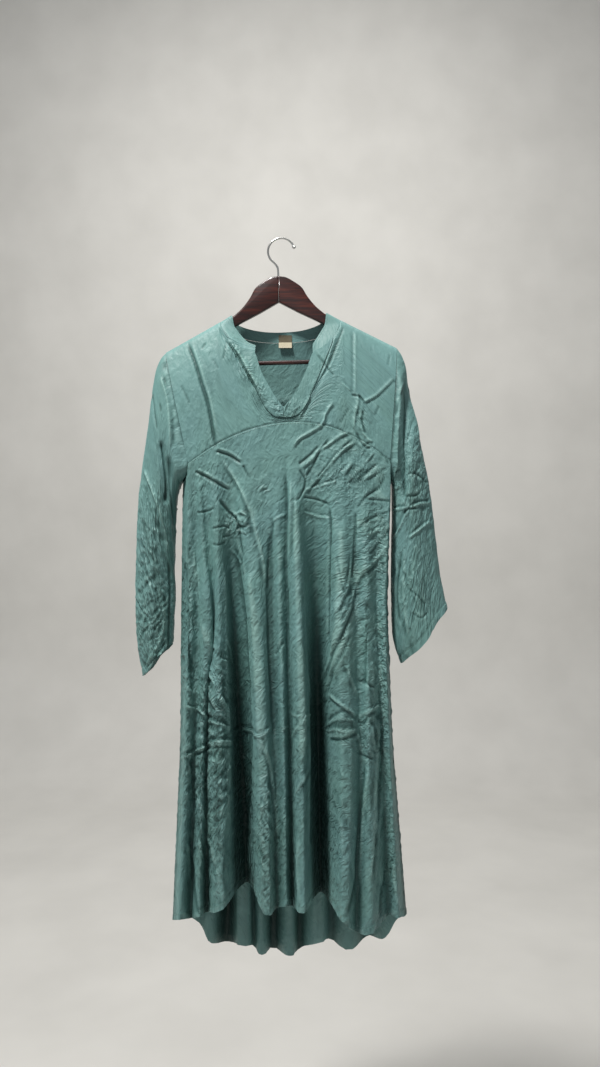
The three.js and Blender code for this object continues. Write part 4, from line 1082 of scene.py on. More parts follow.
def crumple(u, v, degrees, long, short, seed):
    """Crumpled cloth, about -1 to 1, with its creases running at this angle from the vertical."""
    turn = math.radians(degrees)
    along = (u * math.sin(turn) + v * math.cos(turn)) / long
    across = (u * math.cos(turn) - v * math.sin(turn)) / short
    along = along + 0.5 * noise_field(along * 0.9, across * 0.5, seed + 1)
    across = across + 0.6 * noise_field(along * 1.3, across * 0.7, seed + 2)
    first = np.abs(noise_field(along, across, seed))
    second = np.abs(noise_field(along * 2.1 + 7, across * 2.3 + 3, seed + 3))
    return 1 - 3.2 * first - 1.3 * second


# Where the crumple lies, seen from the front: middle and reach in the photograph, the angle of its
# creases from the vertical, their length and width, and their height in millimetres. The last rows
# are the narrowest.
Crumpled = namedtuple("Crumpled", "x y reach_x reach_y degrees long short height")
CRUMPLED = [Crumpled(*row) for row in [
    (283, 700, 400, 330, 8, 60, 12, 0.36),
    (345, 475, 46, 40, -42, 110, 9, 0.55),
    (375, 545, 26, 60, -38, 80, 9, 0.6),
    (350, 620, 36, 80, -26, 110, 10, 0.55),
    (205, 490, 26, 50, 20, 26, 9, 0.4),
    (236, 525, 14, 16, 60, 14, 8, 0.8),
    (186, 620, 12, 90, 4, 24, 8, 0.9),
    (214, 700, 28, 60, 28, 26, 8, 1.1),
    (208, 790, 30, 80, -20, 26, 9, 1.3),
    (238, 790, 16, 90, 5, 30, 9, 0.8),
    (265, 500, 16, 40, -10, 20, 8, 0.35),
    (266, 840, 22, 80, 12, 24, 9, 0.9),
    (300, 780, 16, 120, -14, 60, 9, 0.5),
    (368, 735, 18, 30, 55, 28, 9, 0.7),
    (335, 840, 34, 90, 14, 60, 10, 0.6),
    (382, 690, 14, 110, 10, 34, 8, 0.9),
    (385, 850, 20, 80, -6, 70, 8, 0.7),
    (215, 860, 40, 50, 10, 34, 10, 0.6),
    (152, 550, 20, 70, 15, 22, 8, 1.0),
    (152, 620, 20, 60, -30, 20, 8, 1.1),
    (418, 480, 22, 60, -30, 30, 10, 0.7),
    (415, 590, 26, 60, 10, 34, 10, 0.7),
    (362, 418, 14, 20, -20, 20, 9, 0.5),
    (285, 408, 22, 12, 70, 14, 7, 0.55),
    (200, 395, 60, 60, 14, 70, 16, 0.12),
    (232, 350, 9, 13, -32, 24, 7, 0.55),
    (246, 372, 9, 13, -32, 24, 7, 0.6),
    (259, 395, 9, 13, -32, 24, 7, 0.55),
]]


CRUMPLE_GAIN = 1.4  # the noise spans less than its full range
CRUMPLE_SEEDS = {"first": 40, "step": 10}


def patch_share(patch, across, down):
    """How much of a crumpled stretch a place has, 1 in its middle."""
    far = ((across - patch.x) / patch.reach_x) ** 2 + ((down - patch.y) / patch.reach_y) ** 2
    return np.exp(-far)


def crumple_relief(across, down, scale):
    u, v = across * scale.mean(), down * scale.mean()
    relief = np.zeros(across.shape)
    for i, patch in enumerate(CRUMPLED):
        seed = CRUMPLE_SEEDS["first"] + CRUMPLE_SEEDS["step"] * i
        ridges = crumple(u, v, patch.degrees, patch.long, patch.short, seed)
        relief += CRUMPLE_GAIN * patch_share(patch, across, down) * patch.height * ridges
    return relief


def crumple_strength(points):
    """How strongly each place is crumpled, for the finest wrinkles that the material adds."""
    across, down, _ = seen(points)
    strength = np.zeros(across.shape)
    for patch in CRUMPLED:
        strength = np.maximum(strength, patch.height * patch_share(patch, across, down))
    return strength


print(len(CRUMPLED), "crumpled stretches")

# %% [markdown]
# ## Pressing the creases in, and closing the shells
#
# The relief moves each point of a shell along its normal. The front takes the creases as they are
# seen. What the photograph hides, the back and the inner sides of the sleeves, takes the same kinds
# of crease the other way round. Near a seam the relief dies away, because the seam holds the cloth.

# %% Relief of a shell
MIRROR_ACROSS = 287  # the photograph's column that the hidden sides are turned about
HIDDEN_SHARE = 0.85  # height of the creases on the hidden sides
TURNED = {"past": 0.1, "over": 0.45}  # how far a place faces away before it counts as hidden
HEM_STEP = {"height": 0.5, "width": 12, "edge": 1.5, "groove": 0.7, "groove_width": 1.8}
HEM_RIPPLE = {"height": 2.2, "length": 9, "rise": 30, "reach": 26, "seed": 91}
Fade = namedtuple("Fade", "top bottom sides")
FADES = {
    "front_yoke": Fade(16, 0, 9),
    "front_panel": Fade(0, 0, 10),
    "back_panel": Fade(16, 0, 10),
    "sleeve_left": Fade(16, 0, 0),
    "sleeve_right": Fade(16, 0, 0),
    "neckband": Fade(5, 7, 5),
}
HEMMED = ("front_panel", "back_panel", "sleeve_left", "sleeve_right")


def lengths_down(grid):
    steps = np.linalg.norm(np.diff(grid, axis=0), axis=2)
    return np.concatenate([np.zeros((1, grid.shape[1])), np.cumsum(steps, axis=0)])


def lengths_across(grid):
    return lengths_down(grid.transpose(1, 0, 2)).T


def edge_fade(name, grid):
    fade = FADES[name]
    down, across = lengths_down(grid), lengths_across(grid)
    share = np.ones(down.shape)
    if fade.top:
        share *= eased(down / fade.top)
    if fade.bottom:
        share *= eased((down[-1] - down) / fade.bottom)
    if fade.sides:
        share *= eased(across / fade.sides) * eased((across[:, -1:] - across) / fade.sides)
    return share


# Seams that show as a line with small puckers beside it: the edge, the height of the puckers, how
# far they reach and how long they are. The groove is the same for all of them.
Pucker = namedtuple("Pucker", "piece edge height reach length")
PUCKERS = [
    Pucker("front_yoke", "bottom", 0.5, 12, 7),
    Pucker("front_panel", "top", 0.5, 14, 7),
    Pucker("front_panel", "start", 0.9, 22, 11),
    Pucker("front_panel", "end", 1.3, 26, 11),
    Pucker("back_panel", "start", 1.3, 26, 11),
    Pucker("back_panel", "end", 0.9, 22, 11),
    Pucker("sleeve_left", "top", 0.8, 14, 10),
    Pucker("sleeve_right", "top", 0.8, 14, 10),
]
PUCKERED = {"gain": 2.4, "grow_over": 4, "offset": 11, "seed": 77}
GROOVE = {"depth": 0.8, "width": 1.8}
BASE_CRUMPLE = {"height": 0.22, "degrees": 5, "long": 50, "short": 13, "seed": 7, "offset": 500}


def seam_relief(name, grid):
    down, across = lengths_down(grid), lengths_across(grid)
    relief = np.zeros(down.shape)
    for pucker in PUCKERS:
        if pucker.piece != name:
            continue
        away, along = {
            "top": (down, across),
            "bottom": (down[-1] - down, across),
            "start": (across, down),
            "end": (across[:, -1:] - across, down),
        }[pucker.edge]
        place = along / pucker.length + PUCKERED["offset"]
        waves = noise_field(place, away / (2 * pucker.length), PUCKERED["seed"])
        grow = PUCKERED["grow_over"]
        beside = np.where(away < grow, away / grow, 1) * eased(1 - (away - grow) / pucker.reach)
        relief += PUCKERED["gain"] * pucker.height * waves * beside
        relief -= GROOVE["depth"] * np.exp(-((away / GROOVE["width"]) ** 2))
    return relief


def hem_relief(grid):
    """The step of the turned hem, the groove of its seam, and the ripples of its edge."""
    above_hem = lengths_down(grid)[-1] - lengths_down(grid)
    from_seam = above_hem - HEM_STEP["width"]
    relief = HEM_STEP["height"] * eased(1 - from_seam / HEM_STEP["edge"])
    relief -= HEM_STEP["groove"] * np.exp(-((from_seam / HEM_STEP["groove_width"]) ** 2))
    place = lengths_across(grid) / HEM_RIPPLE["length"] + 3
    ripple = noise_field(place, above_hem / HEM_RIPPLE["rise"], HEM_RIPPLE["seed"])
    return relief + HEM_RIPPLE["height"] * ripple * eased(1 - above_hem / HEM_RIPPLE["reach"])


def relief_of(name, grid, normals):
    on_body = YOKE_CREASES + SKIRT_CREASES + PACKING_CREASES
    creases = SLEEVE_CREASES if name.startswith("sleeve") else on_body
    across, down, scale = seen(grid)
    front = eased((TURNED["past"] - normals[..., 1]) / TURNED["over"])
    back = eased((normals[..., 1] + TURNED["past"]) / TURNED["over"])
    mirrored = 2 * MIRROR_ACROSS - across
    relief = front * (crease_relief(across, down, scale, creases) + crumple_relief(across, down, scale))
    hidden = crease_relief(mirrored, down, scale, creases) + crumple_relief(mirrored, down, scale)
    relief += HIDDEN_SHARE * back * hidden
    base = BASE_CRUMPLE
    along, away = lengths_across(grid) + base["offset"], lengths_down(grid)
    wrinkles = crumple(along, away, base["degrees"], base["long"], base["short"], base["seed"])
    relief += base["height"] * wrinkles
    relief *= edge_fade(name, grid)
    relief += seam_relief(name, grid)
    if name in HEMMED:
        relief += hem_relief(grid)
    return relief


# %% [markdown]
# Cloth has two sides. The wearer's side is made from every third point of the outer one, because it
# is hardly seen, and it is sunk wherever its larger faces would cut through a hollow.

# %% The pressed shells
SHELL_CLOTH = 1.4
INNER_STEP = 3  # the inner side has every third row and column


def pressed(name, grid, ring):
    normals = normals_of(grid, ring)
    relief = relief_of(name, grid, normals)
    outer = grid + normals * relief[..., None]
    return outer, inner_side(outer, normals, ring), relief


def inner_side(outer, normals, ring):
    """The wearer's side: a coarser grid, sunk wherever it would cut through a hollow of the outer."""
    step = INNER_STEP
    wide = np.concatenate([outer, outer[:, :1]], axis=1) if ring else outer
    coarse = wide[::step, ::step]
    filled = np.repeat(coarse[:-1], step, axis=0)
    next_rows = np.repeat(coarse[1:], step, axis=0)
    t = (np.arange(len(filled)) % step / step)[:, None, None]
    filled = np.concatenate([mix(filled, next_rows, t), coarse[-1:]])
    left, right = np.repeat(filled[:, :-1], step, axis=1), np.repeat(filled[:, 1:], step, axis=1)
    t = (np.arange(left.shape[1]) % step / step)[None, :, None]
    filled = np.concatenate([mix(left, right, t), filled[:, -1:]], axis=1)[:, : outer.shape[1]]
    above = np.maximum(((filled - outer) * normals).sum(2), 0)
    above = np.pad(above, ((step, step), (0, 0)), mode="edge")
    above = np.pad(above, ((0, 0), (step, step)), mode="wrap" if ring else "edge")
    rows, columns = outer.shape[:2]
    moves = range(2 * step + 1)
    sunk = np.max([above[r : r + rows, c : c + columns] for r in moves for c in moves], axis=0)
    return (outer - normals * (sunk + SHELL_CLOTH)[..., None])[::step, ::step]


pressed_shells = {}
for name, grid in shells.items():
    pressed_shells[name] = pressed(name, grid, GRIDS[name][3])
    relief = pressed_shells[name][2]
    print(name, "relief from", round(relief.min(), 1), "to", round(relief.max(), 1), "mm")


# %% [markdown]
# The strips beside the V are turned out and lie on the yoke. They are made from the yoke's own upper
# rows, lifted by the seam gap and their own thickness, so that they follow the cloth below.

# %% Facings: the neck edge's own grid, turned out over the yoke
FACING_SIZE = {"rows": 19, "columns": 112}


def facing_shell(side):
    _, middle = yoke_columns()
    first = SHOULDER_COLUMNS + FACING_FROM
    coarse = yoke_grid()[: len(CAP_SHARES)]
    last = coarse.shape[1] - first
    coarse = coarse[:, first : middle + 1] if side == "left" else coarse[:, middle:last]
    grid = finer(coarse, FACING_SIZE["rows"], FACING_SIZE["columns"])
    normals = normals_of(grid)
    relief = front_relief(grid, normals)
    lifted = grid + normals * (relief + SEAM_GAP + BAND_CLOTH)[..., None]
    share = np.linspace(0, 1, grid.shape[1])
    aside = -SEAM_GAP * share if side == "left" else SEAM_GAP * (1 - share)
    lifted[..., 0] += aside
    return lifted, inner_side(lifted, normals, False), relief


def front_relief(grid, normals):
    """The yoke's relief, read off its pressed shell at the nearest points."""
    yoke = shells["front_yoke"]
    relief = pressed_shells["front_yoke"][2]
    made = np.zeros(grid.shape[:2])
    flat = yoke.reshape(-1, 3)
    for r in range(grid.shape[0]):
        gaps = ((grid[r][:, None, :] - flat[None]) ** 2).sum(2)
        nearest = np.argpartition(gaps, 4, axis=1)[:, :4]
        near_gaps = np.take_along_axis(gaps, nearest, 1)
        weights = 1 / (near_gaps + 0.05)
        made[r] = (relief.ravel()[nearest] * weights).sum(1) / weights.sum(1)
    return made


for side in ("left", "right"):
    pressed_shells["neck_facing_" + side] = facing_shell(side)
    print("facing", side, "made")


# %% [markdown]
# A small ribbon hangs inside the back of the neck. It follows the band with a slight wave, and it is
# left blank.

# %% The blank label inside the back of the neckband
LABEL_CLOTH = 0.6
LABEL_STEPS = 25
LABEL_WAVE = {"height": 0.3, "turns": 0.25, "start": 4}


def label_shell():
    spot = LABEL_SPOT
    row = spot["middle_row"]
    seam_x, drop = BACK_NECK["x"][row], BACK_NECK["drop"][row]
    seam_z = base_z(seam_x) - drop
    seam_y = on_back(seam_x, seam_z)[1]
    top_y, band_top = BAND_TOP["back"]["y"][row], BAND_TOP["back"]["z"][row]
    rows = []
    for z in np.linspace(spot["top_z"], spot["bottom_z"], LABEL_STEPS):
        fallen = clamp01((band_top - z) / (band_top - seam_z))
        y = mix(top_y, seam_y, fallen) - BAND_CLOTH - 2 * SEAM_GAP
        height = spot["top_z"] - spot["bottom_z"]
        wave = LABEL_WAVE["height"] * clamp01((z - spot["bottom_z"]) / height)
        across = np.linspace(spot["to_x"], spot["from_x"], LABEL_STEPS)
        turns = (across + LABEL_WAVE["start"]) * LABEL_WAVE["turns"]
        rows.append([(x, y - wave * math.sin(turn), z) for x, turn in zip(across, turns)])
    grid = np.array(rows)
    normals = normals_of(grid)
    outer = grid - normals * 0.2
    return outer, (outer - normals * LABEL_CLOTH)[::INNER_STEP, ::INNER_STEP], np.zeros(grid.shape[:2])


pressed_shells["neck_label"] = label_shell()
print("label", pressed_shells["neck_label"][0].shape)


# %% [markdown]
# Light hardly reaches the bottom of a fold, so the satin's colour there is darkened by painted shade. How
# deep a place lies is
# read from the shell itself: fill every hollow narrower than a given width, and see how much was
# filled. The other way round it finds the crests, which get a painted highlight.


# %% How deep in a fold, and how high on a crest
def widest(values, reach, axis, pick):
    """The highest or lowest of the neighbours within reach along an axis."""
    pad = [(0, 0), (0, 0)]
    pad[axis] = (reach, reach)
    padded = np.pad(values, pad, mode="edge")
    windows = np.lib.stride_tricks.sliding_window_view(padded, 2 * reach + 1, axis=axis)
    return pick(windows, axis=-1)


def hollow(values, reach, axes):
    """How much would fill the hollows narrower than twice the reach."""
    filled = values
    for axis in axes:
        filled = widest(filled, reach, axis, np.max)
    for axis in axes:
        filled = widest(filled, reach, axis, np.min)
    return filled - values


# Painted shade: the depth at which a fold, a sleeve fold or a crease is painted fully dark; the painted
# shade in the skirt's folds grows stronger down the skirt.
FOLD_REACH = 15
CREASE_REACH = 3
FOLDS_DARKEN = {"from": 560, "to": 740, "start": 0.62}  # rows of the photograph
CREASE_SHADE, SLEEVE_SHADE = 0.6, 0.9  # shares of a fold's darkness
FULL_DARK = {"fold": 43, "sleeve": 6, "crease": 2.2, "crest": 2.4}


def shading_of(name, outer, relief):
    """Shares for every place: how much painted shade its fold gets outside and inside, and how much
    painted highlight its crest gets.
    """
    toward = {"front_yoke": -1, "front_panel": -1, "back_panel": 1}.get(name)
    # Painted shade in the creases, and below it the painted shade in the skirt's and sleeves' folds.
    painted_shade = CREASE_SHADE * eased(hollow(relief, CREASE_REACH, (0, 1)) / FULL_DARK["crease"])
    inside = np.zeros(painted_shade.shape)
    if toward:
        folds = hollow(toward * outer[..., 1], FOLD_REACH, (1,))
        down = seen(outer)[1]
        lower = eased((down - FOLDS_DARKEN["from"]) / (FOLDS_DARKEN["to"] - FOLDS_DARKEN["from"]))
        share = mix(FOLDS_DARKEN["start"], 1, lower)
        painted_shade = np.maximum(painted_shade, eased(folds / FULL_DARK["fold"]) * share)
        folds = hollow(-toward * outer[..., 1], FOLD_REACH, (1,))
        inside = eased(folds / FULL_DARK["fold"])
    elif name.startswith("sleeve"):
        folds = hollow(relief, 2 * CREASE_REACH, (1,))
        painted_shade = np.maximum(painted_shade, SLEEVE_SHADE * eased(folds / FULL_DARK["sleeve"]))
    # Painted highlight: crests are coloured lighter.
    crest = eased(hollow(-relief, CREASE_REACH, (0, 1)) / FULL_DARK["crest"])
    return painted_shade, inside, crest


# %% [markdown]
# The two sides are joined by rims at the cut edges. The rims stay sharp, as a hemmed edge does, and
# each shell carries its painted shade, its painted highlight and its place along the cloth for the
# material.

# %% From two grids to a closed mesh
def rim(outer_edge, inner_edge, turned):
    """Triangles between an edge of the outer side and the coarser edge of the inner side."""
    faces = []
    half = INNER_STEP // 2
    for i in range(len(inner_edge) - 1):
        fine = outer_edge[i * INNER_STEP : (i + 1) * INNER_STEP + 1]
        start, end = inner_edge[i], inner_edge[i + 1]
        for k in range(INNER_STEP):
            faces.append((fine[k], fine[k + 1], start if k <= half else end))
            if k == half:
                faces.append((fine[k + 1], end, start))
    return [face[::-1] for face in faces] if turned else faces


def shell_mesh(name, outer, inner, relief, ring=False):
    rows, columns = outer.shape[:2]
    count = rows * columns
    points = np.concatenate([outer.reshape(-1, 3), inner.reshape(-1, 3)]) * MM
    index = np.arange(count).reshape(rows, columns)
    inner_index = np.arange(inner.shape[0] * inner.shape[1]).reshape(inner.shape[:2]) + count
    if ring:
        index = np.concatenate([index, index[:, :1]], axis=1)
        inner_index = np.concatenate([inner_index, inner_index[:, :1]], axis=1)

    def quads(grid, turned):
        a, b, c, d = grid[:-1, :-1], grid[:-1, 1:], grid[1:, 1:], grid[1:, :-1]
        corners = (a, b, c, d) if turned else (a, d, c, b)
        return np.stack(corners, -1).reshape(-1, 4).tolist()

    faces = quads(index, False) + quads(inner_index, True)
    rims_from = len(faces)
    faces += rim(index[0], inner_index[0], False) + rim(index[-1], inner_index[-1], True)
    if not ring:
        faces += rim(index[:, 0], inner_index[:, 0], True)
        faces += rim(index[:, -1], inner_index[:, -1], False)
    mesh = bpy.data.meshes.new(name)
    mesh.from_pydata(points.tolist(), [], faces)
    mesh.shade_smooth()
    set_sharp_rims(mesh, faces[rims_from:])
    lay_uv(mesh, outer)
    # Painted shade of folds and creases on both sides, painted highlight on crests, and crumple strength
    # for the bump.
    painted_shade, inside, crest = shading_of(name.removeprefix("cloth_"), outer, relief)
    crumpled = crumple_strength(outer)
    marks = (("painted_shade", painted_shade, inside), ("crest", crest, crest), ("crumple", crumpled, crumpled))
    for label, values, within in marks:
        both = np.concatenate([values.ravel(), within[::INNER_STEP, ::INNER_STEP].ravel()])
        layer = mesh.attributes.new(label, "FLOAT", "POINT")
        layer.data.foreach_set("value", both.astype(np.float32))
    return mesh


def set_sharp_rims(mesh, rim_faces):
    """The cut edges stay crisp: every edge of the rims is sharp."""
    pairs = {tuple(sorted((f[i], f[(i + 1) % 3]))) for f in rim_faces for i in range(3)}
    ends = np.zeros(len(mesh.edges) * 2, int)
    mesh.edges.foreach_get("vertices", ends)
    ends = np.sort(ends.reshape(-1, 2), axis=1)
    layer = mesh.attributes.new("sharp_edge", "BOOLEAN", "EDGE")
    layer.data.foreach_set("value", [tuple(pair) in pairs for pair in ends.tolist()])


def lay_uv(mesh, outer):
    """UV in metres along the cloth, so that weave keeps its size on every piece."""
    across, down = lengths_across(outer) * MM, lengths_down(outer) * MM
    outside = np.stack([across, down], -1)
    inside = outside[::INNER_STEP, ::INNER_STEP]
    places = np.concatenate([outside.reshape(-1, 2), inside.reshape(-1, 2)])
    corners = np.zeros(len(mesh.loops), int)
    mesh.loops.foreach_get("vertex_index", corners)
    layer = mesh.uv_layers.new(name="cloth")
    layer.data.foreach_set("uv", places[corners].ravel())


def cut_of(outer):
    """Width, length and area of a sheet in metres, as cut."""
    steps_down = np.diff(outer, axis=0)[:, :-1]
    steps_across = np.diff(outer, axis=1)[:-1]
    area = np.linalg.norm(np.cross(steps_down, steps_across), axis=2).sum()
    width = lengths_across(outer)[:, -1].max()
    length = lengths_down(outer)[-1].max()
    return width * MM, length * MM, area * MM * MM


objects = {}
for name, (outer, inner, relief) in pressed_shells.items():
    ring = name.startswith("sleeve")
    mesh = shell_mesh("cloth_" + name, outer, inner, relief, ring)
    made = bpy.data.objects.new("cloth_" + name, mesh)
    bpy.context.scene.collection.objects.link(made)
    objects[name] = made
    print(made.name, len(mesh.loops) - 2 * len(mesh.polygons), "triangles")

# %% [markdown]
# ## Satin, thread, ribbon, wood and wire
#
# Satin shows long floats of thread: it is smooth, but not a mirror, so it gets a broad soft gloss.
# Its colour is a grey sea green that drifts a little in hue; painted shade takes it almost to black in a
# deep fold.
# All patterns are made by nodes on the cloth's own UV or on the object's coordinates.


# %% Node helpers
def material(name):
    made = bpy.data.materials.new(name)
    made.use_nodes = True
    nodes = made.node_tree.nodes
    return made, made.node_tree, nodes["Principled BSDF"]


def add(tree, kind, **values):
    node = tree.nodes.new(kind)
    for key, value in values.items():
        if key in node.inputs:
            node.inputs[key].default_value = value
        else:
            setattr(node, key, value)
    return node


def ramp(tree, source, stops):
    node = tree.nodes.new("ShaderNodeValToRGB")
    elements = node.color_ramp.elements
    while len(elements) < len(stops):
        elements.new(0.5)
    for element, (place, colour) in zip(elements, stops):
        element.position = place
        element.color = (*colour, 1)
    tree.links.new(source, node.inputs["Fac"])
    return node.outputs["Color"]


def scaled(tree, source, scale):
    node = tree.nodes.new("ShaderNodeMapping")
    node.inputs["Scale"].default_value = scale
    tree.links.new(source, node.inputs["Vector"])
    return node.outputs["Vector"]


def noise(tree, vector, scale, detail=2.0, rough=0.5):
    node = tree.nodes.new("ShaderNodeTexNoise")
    node.inputs["Scale"].default_value = scale
    node.inputs["Detail"].default_value = detail
    node.inputs["Roughness"].default_value = rough
    tree.links.new(vector, node.inputs["Vector"])
    return node.outputs["Fac"]


def bump(tree, height, distance, strength, under=None):
    node = tree.nodes.new("ShaderNodeBump")
    node.inputs["Distance"].default_value = distance
    node.inputs["Strength"].default_value = strength
    tree.links.new(height, node.inputs["Height"])
    if under is not None:
        tree.links.new(under, node.inputs["Normal"])
    return node.outputs["Normal"]


def ranged(tree, source, low, high, from_low=0.0, from_high=1.0):
    """A value brought from one range to another."""
    node = add(tree, "ShaderNodeMapRange")
    limits = {"From Min": from_low, "From Max": from_high, "To Min": low, "To Max": high}
    for label, value in limits.items():
        node.inputs[label].default_value = value
    tree.links.new(source, node.inputs["Value"])
    return node.outputs["Result"]


def multiplied(tree, source, by):
    node = add(tree, "ShaderNodeMath", operation="MULTIPLY")
    tree.links.new(source, node.inputs[0])
    node.inputs[1].default_value = by
    return node.outputs["Value"]


def linear(*srgb):
    """A colour of 0 to 255 as the renderer wants it."""
    shares = [v / 255 for v in srgb]
    return tuple(round(((v + 0.055) / 1.055) ** 2.4, 4) if v > 0.04 else v / 12.92 for v in shares)


# %% [markdown]
# The satin's pattern has three scales: clouds of colour, wrinkles too fine for the mesh, and the
# floats of the weave. The last two are bumps, so that the light breaks on them.

# %% Satin
SATIN = {
    # fold is the near-black colour of painted shade in deep folds; ridge is the lighter colour of painted
    # highlight on crests.
    "fold": (0.07, 0.12, 0.11),
    "cloth": linear(103, 141, 138),
    "ridge": linear(126, 163, 158),
    "light": (0.9, 1.1),
    "hue": (0.493, 0.508),
    "roughness": (0.44, 0.58),
    "sheen": 0.22,
    "thread": 2600,
}


def crinkled(tree, uv):
    """Small facets of crumpled cloth, strongest where the piece's crumple attribute is."""
    link = tree.links.new
    wander = add(tree, "ShaderNodeTexNoise")
    wander.inputs["Scale"].default_value = 45
    link(uv, wander.inputs["Vector"])
    shift = add(tree, "ShaderNodeVectorMath", operation="SCALE")
    shift.inputs["Scale"].default_value = 0.022
    link(wander.outputs["Color"], shift.inputs[0])
    moved = add(tree, "ShaderNodeVectorMath", operation="ADD")
    link(uv, moved.inputs[0])
    link(shift.outputs["Vector"], moved.inputs[1])
    total = None
    for scale, share in ((60, 0.6), (140, 0.4)):
        cells = add(tree, "ShaderNodeTexVoronoi")
        cells.inputs["Scale"].default_value = scale
        link(scaled(tree, moved.outputs["Vector"], (1.3, 0.7, 1)), cells.inputs["Vector"])
        part = multiplied(tree, cells.outputs["Distance"], share)
        if total is None:
            total = part
        else:
            both = add(tree, "ShaderNodeMath", operation="ADD")
            link(total, both.inputs[0])
            link(part, both.inputs[1])
            total = both.outputs["Value"]
    strength = add(tree, "ShaderNodeAttribute", attribute_name="crumple").outputs["Fac"]
    product = add(tree, "ShaderNodeMath", operation="MULTIPLY")
    link(total, product.inputs[0])
    link(strength, product.inputs[1])
    return product.outputs["Value"]


def satin_material():
    made, tree, shader = material("satin")
    link = tree.links.new
    uv = add(tree, "ShaderNodeUVMap", uv_map="cloth").outputs["UV"]
    crest = add(tree, "ShaderNodeAttribute", attribute_name="crest").outputs["Fac"]
    painted_shade = add(tree, "ShaderNodeAttribute", attribute_name="painted_shade").outputs["Fac"]
    # Painted highlight on the crests, then painted shade multiplied in towards the near-black fold colour.
    painted_highlight = ramp(tree, crest, [(0.0, SATIN["cloth"]), (1.0, SATIN["ridge"])])
    shade = ramp(tree, painted_shade, [(0.0, (1, 1, 1)), (0.5, (0.4, 0.46, 0.45)), (1.0, SATIN["fold"])])
    sunk = add(tree, "ShaderNodeMix", data_type="RGBA", blend_type="MULTIPLY")
    sunk.inputs["Factor"].default_value = 1
    link(painted_highlight, sunk.inputs["A"])
    link(shade, sunk.inputs["B"])
    colour = sunk.outputs["Result"]
    cloudy = noise(tree, uv, 14, 3)
    mottled = add(tree, "ShaderNodeHueSaturation")
    link(ranged(tree, cloudy, *SATIN["light"], 0.3, 0.7), mottled.inputs["Value"])
    link(colour, mottled.inputs["Color"])
    link(ranged(tree, noise(tree, uv, 9, 2), *SATIN["hue"], 0.35, 0.65), mottled.inputs["Hue"])
    link(mottled.outputs["Color"], shader.inputs["Base Color"])
    gloss = ranged(tree, noise(tree, uv, 60, 3), *SATIN["roughness"])
    link(gloss, shader.inputs["Roughness"])
    floats = noise(tree, scaled(tree, uv, (SATIN["thread"], SATIN["thread"] / 9, 1)), 1, 1)
    under = bump(tree, crinkled(tree, uv), 0.01, 0.95)
    link(bump(tree, floats, 0.00012, 0.5, under), shader.inputs["Normal"])
    shader.inputs["Sheen Weight"].default_value = SATIN["sheen"]
    shader.inputs["Sheen Roughness"].default_value = 0.4
    shader.inputs["Sheen Tint"].default_value = (*linear(150, 205, 200), 1)
    shader.inputs["Specular IOR Level"].default_value = 0.32
    return made


satin = satin_material()
print("satin made")


# %% [markdown]
# The label is a ribbon of two plain colours, one above the other. The thread is a shade lighter and
# darker than the cloth, as a twisted thread looks.

# %% Ribbon of the label, thread of the seams
def ribbon_material():
    made, tree, shader = material("ribbon")
    link = tree.links.new
    uv = add(tree, "ShaderNodeUVMap", uv_map="cloth").outputs["UV"]
    split = add(tree, "ShaderNodeSeparateXYZ")
    link(uv, split.inputs["Vector"])
    strip = ramp(tree, multiplied(tree, split.outputs["Y"], 1 / 0.023), [
        (0.0, linear(78, 72, 52)),
        (0.56, linear(88, 80, 58)),
        (0.6, linear(206, 196, 168)),
        (1.0, linear(214, 204, 178)),
    ])
    cloudy = noise(tree, scaled(tree, uv, (900, 300, 1)), 1, 2)
    mottled = add(tree, "ShaderNodeHueSaturation")
    link(ranged(tree, cloudy, 0.8, 1.2), mottled.inputs["Value"])
    link(strip, mottled.inputs["Color"])
    link(mottled.outputs["Color"], shader.inputs["Base Color"])
    link(bump(tree, cloudy, 0.0002, 0.5), shader.inputs["Normal"])
    shader.inputs["Roughness"].default_value = 0.6
    return made


def thread_material():
    made, tree, shader = material("thread")
    place = add(tree, "ShaderNodeTexCoord").outputs["Object"]
    twist = noise(tree, place, 900, 2)
    colour = ramp(tree, twist, [(0.3, linear(74, 112, 102)), (0.7, linear(128, 164, 154))])
    tree.links.new(colour, shader.inputs["Base Color"])
    tree.links.new(bump(tree, twist, 0.0002, 0.6), shader.inputs["Normal"])
    shader.inputs["Roughness"].default_value = 0.5
    return made


ribbon = ribbon_material()
thread = thread_material()
print("ribbon and thread made")


# %% [markdown]
# The hanger's wood is dark and varnished, with its grain along the arms under a thin coat. The hook
# is plated wire with fine drawing marks.

# %% Varnished wood, and bright wire
def wood_material():
    made, tree, shader = material("varnished wood")
    link = tree.links.new
    place = add(tree, "ShaderNodeTexCoord").outputs["Object"]
    grain = noise(tree, scaled(tree, place, (18, 260, 260)), 1, 5, 0.6)
    colour = ramp(tree, grain, [
        (0.3, linear(20, 6, 5)), (0.5, linear(52, 18, 13)), (0.72, linear(84, 34, 22))])
    link(colour, shader.inputs["Base Color"])
    link(bump(tree, grain, 0.0004, 0.3), shader.inputs["Normal"])
    shader.inputs["Roughness"].default_value = 0.3
    shader.inputs["Coat Weight"].default_value = 0.5
    shader.inputs["Coat Roughness"].default_value = 0.15
    return made


def wire_material():
    made, tree, shader = material("bright wire")
    place = add(tree, "ShaderNodeTexCoord").outputs["Object"]
    marks = noise(tree, scaled(tree, place, (300, 300, 60)), 1, 4)
    colour = ramp(tree, marks, [(0.3, linear(188, 188, 186)), (0.7, linear(226, 226, 222))])
    tree.links.new(colour, shader.inputs["Base Color"])
    tree.links.new(bump(tree, marks, 0.0002, 0.25), shader.inputs["Normal"])
    shader.inputs["Metallic"].default_value = 1
    shader.inputs["Roughness"].default_value = 0.24
    return made


wood = wood_material()
wire = wire_material()
print("wood and wire made")

for name, made in objects.items():
    made.data.materials.append(ribbon if name == "neck_label" else satin)


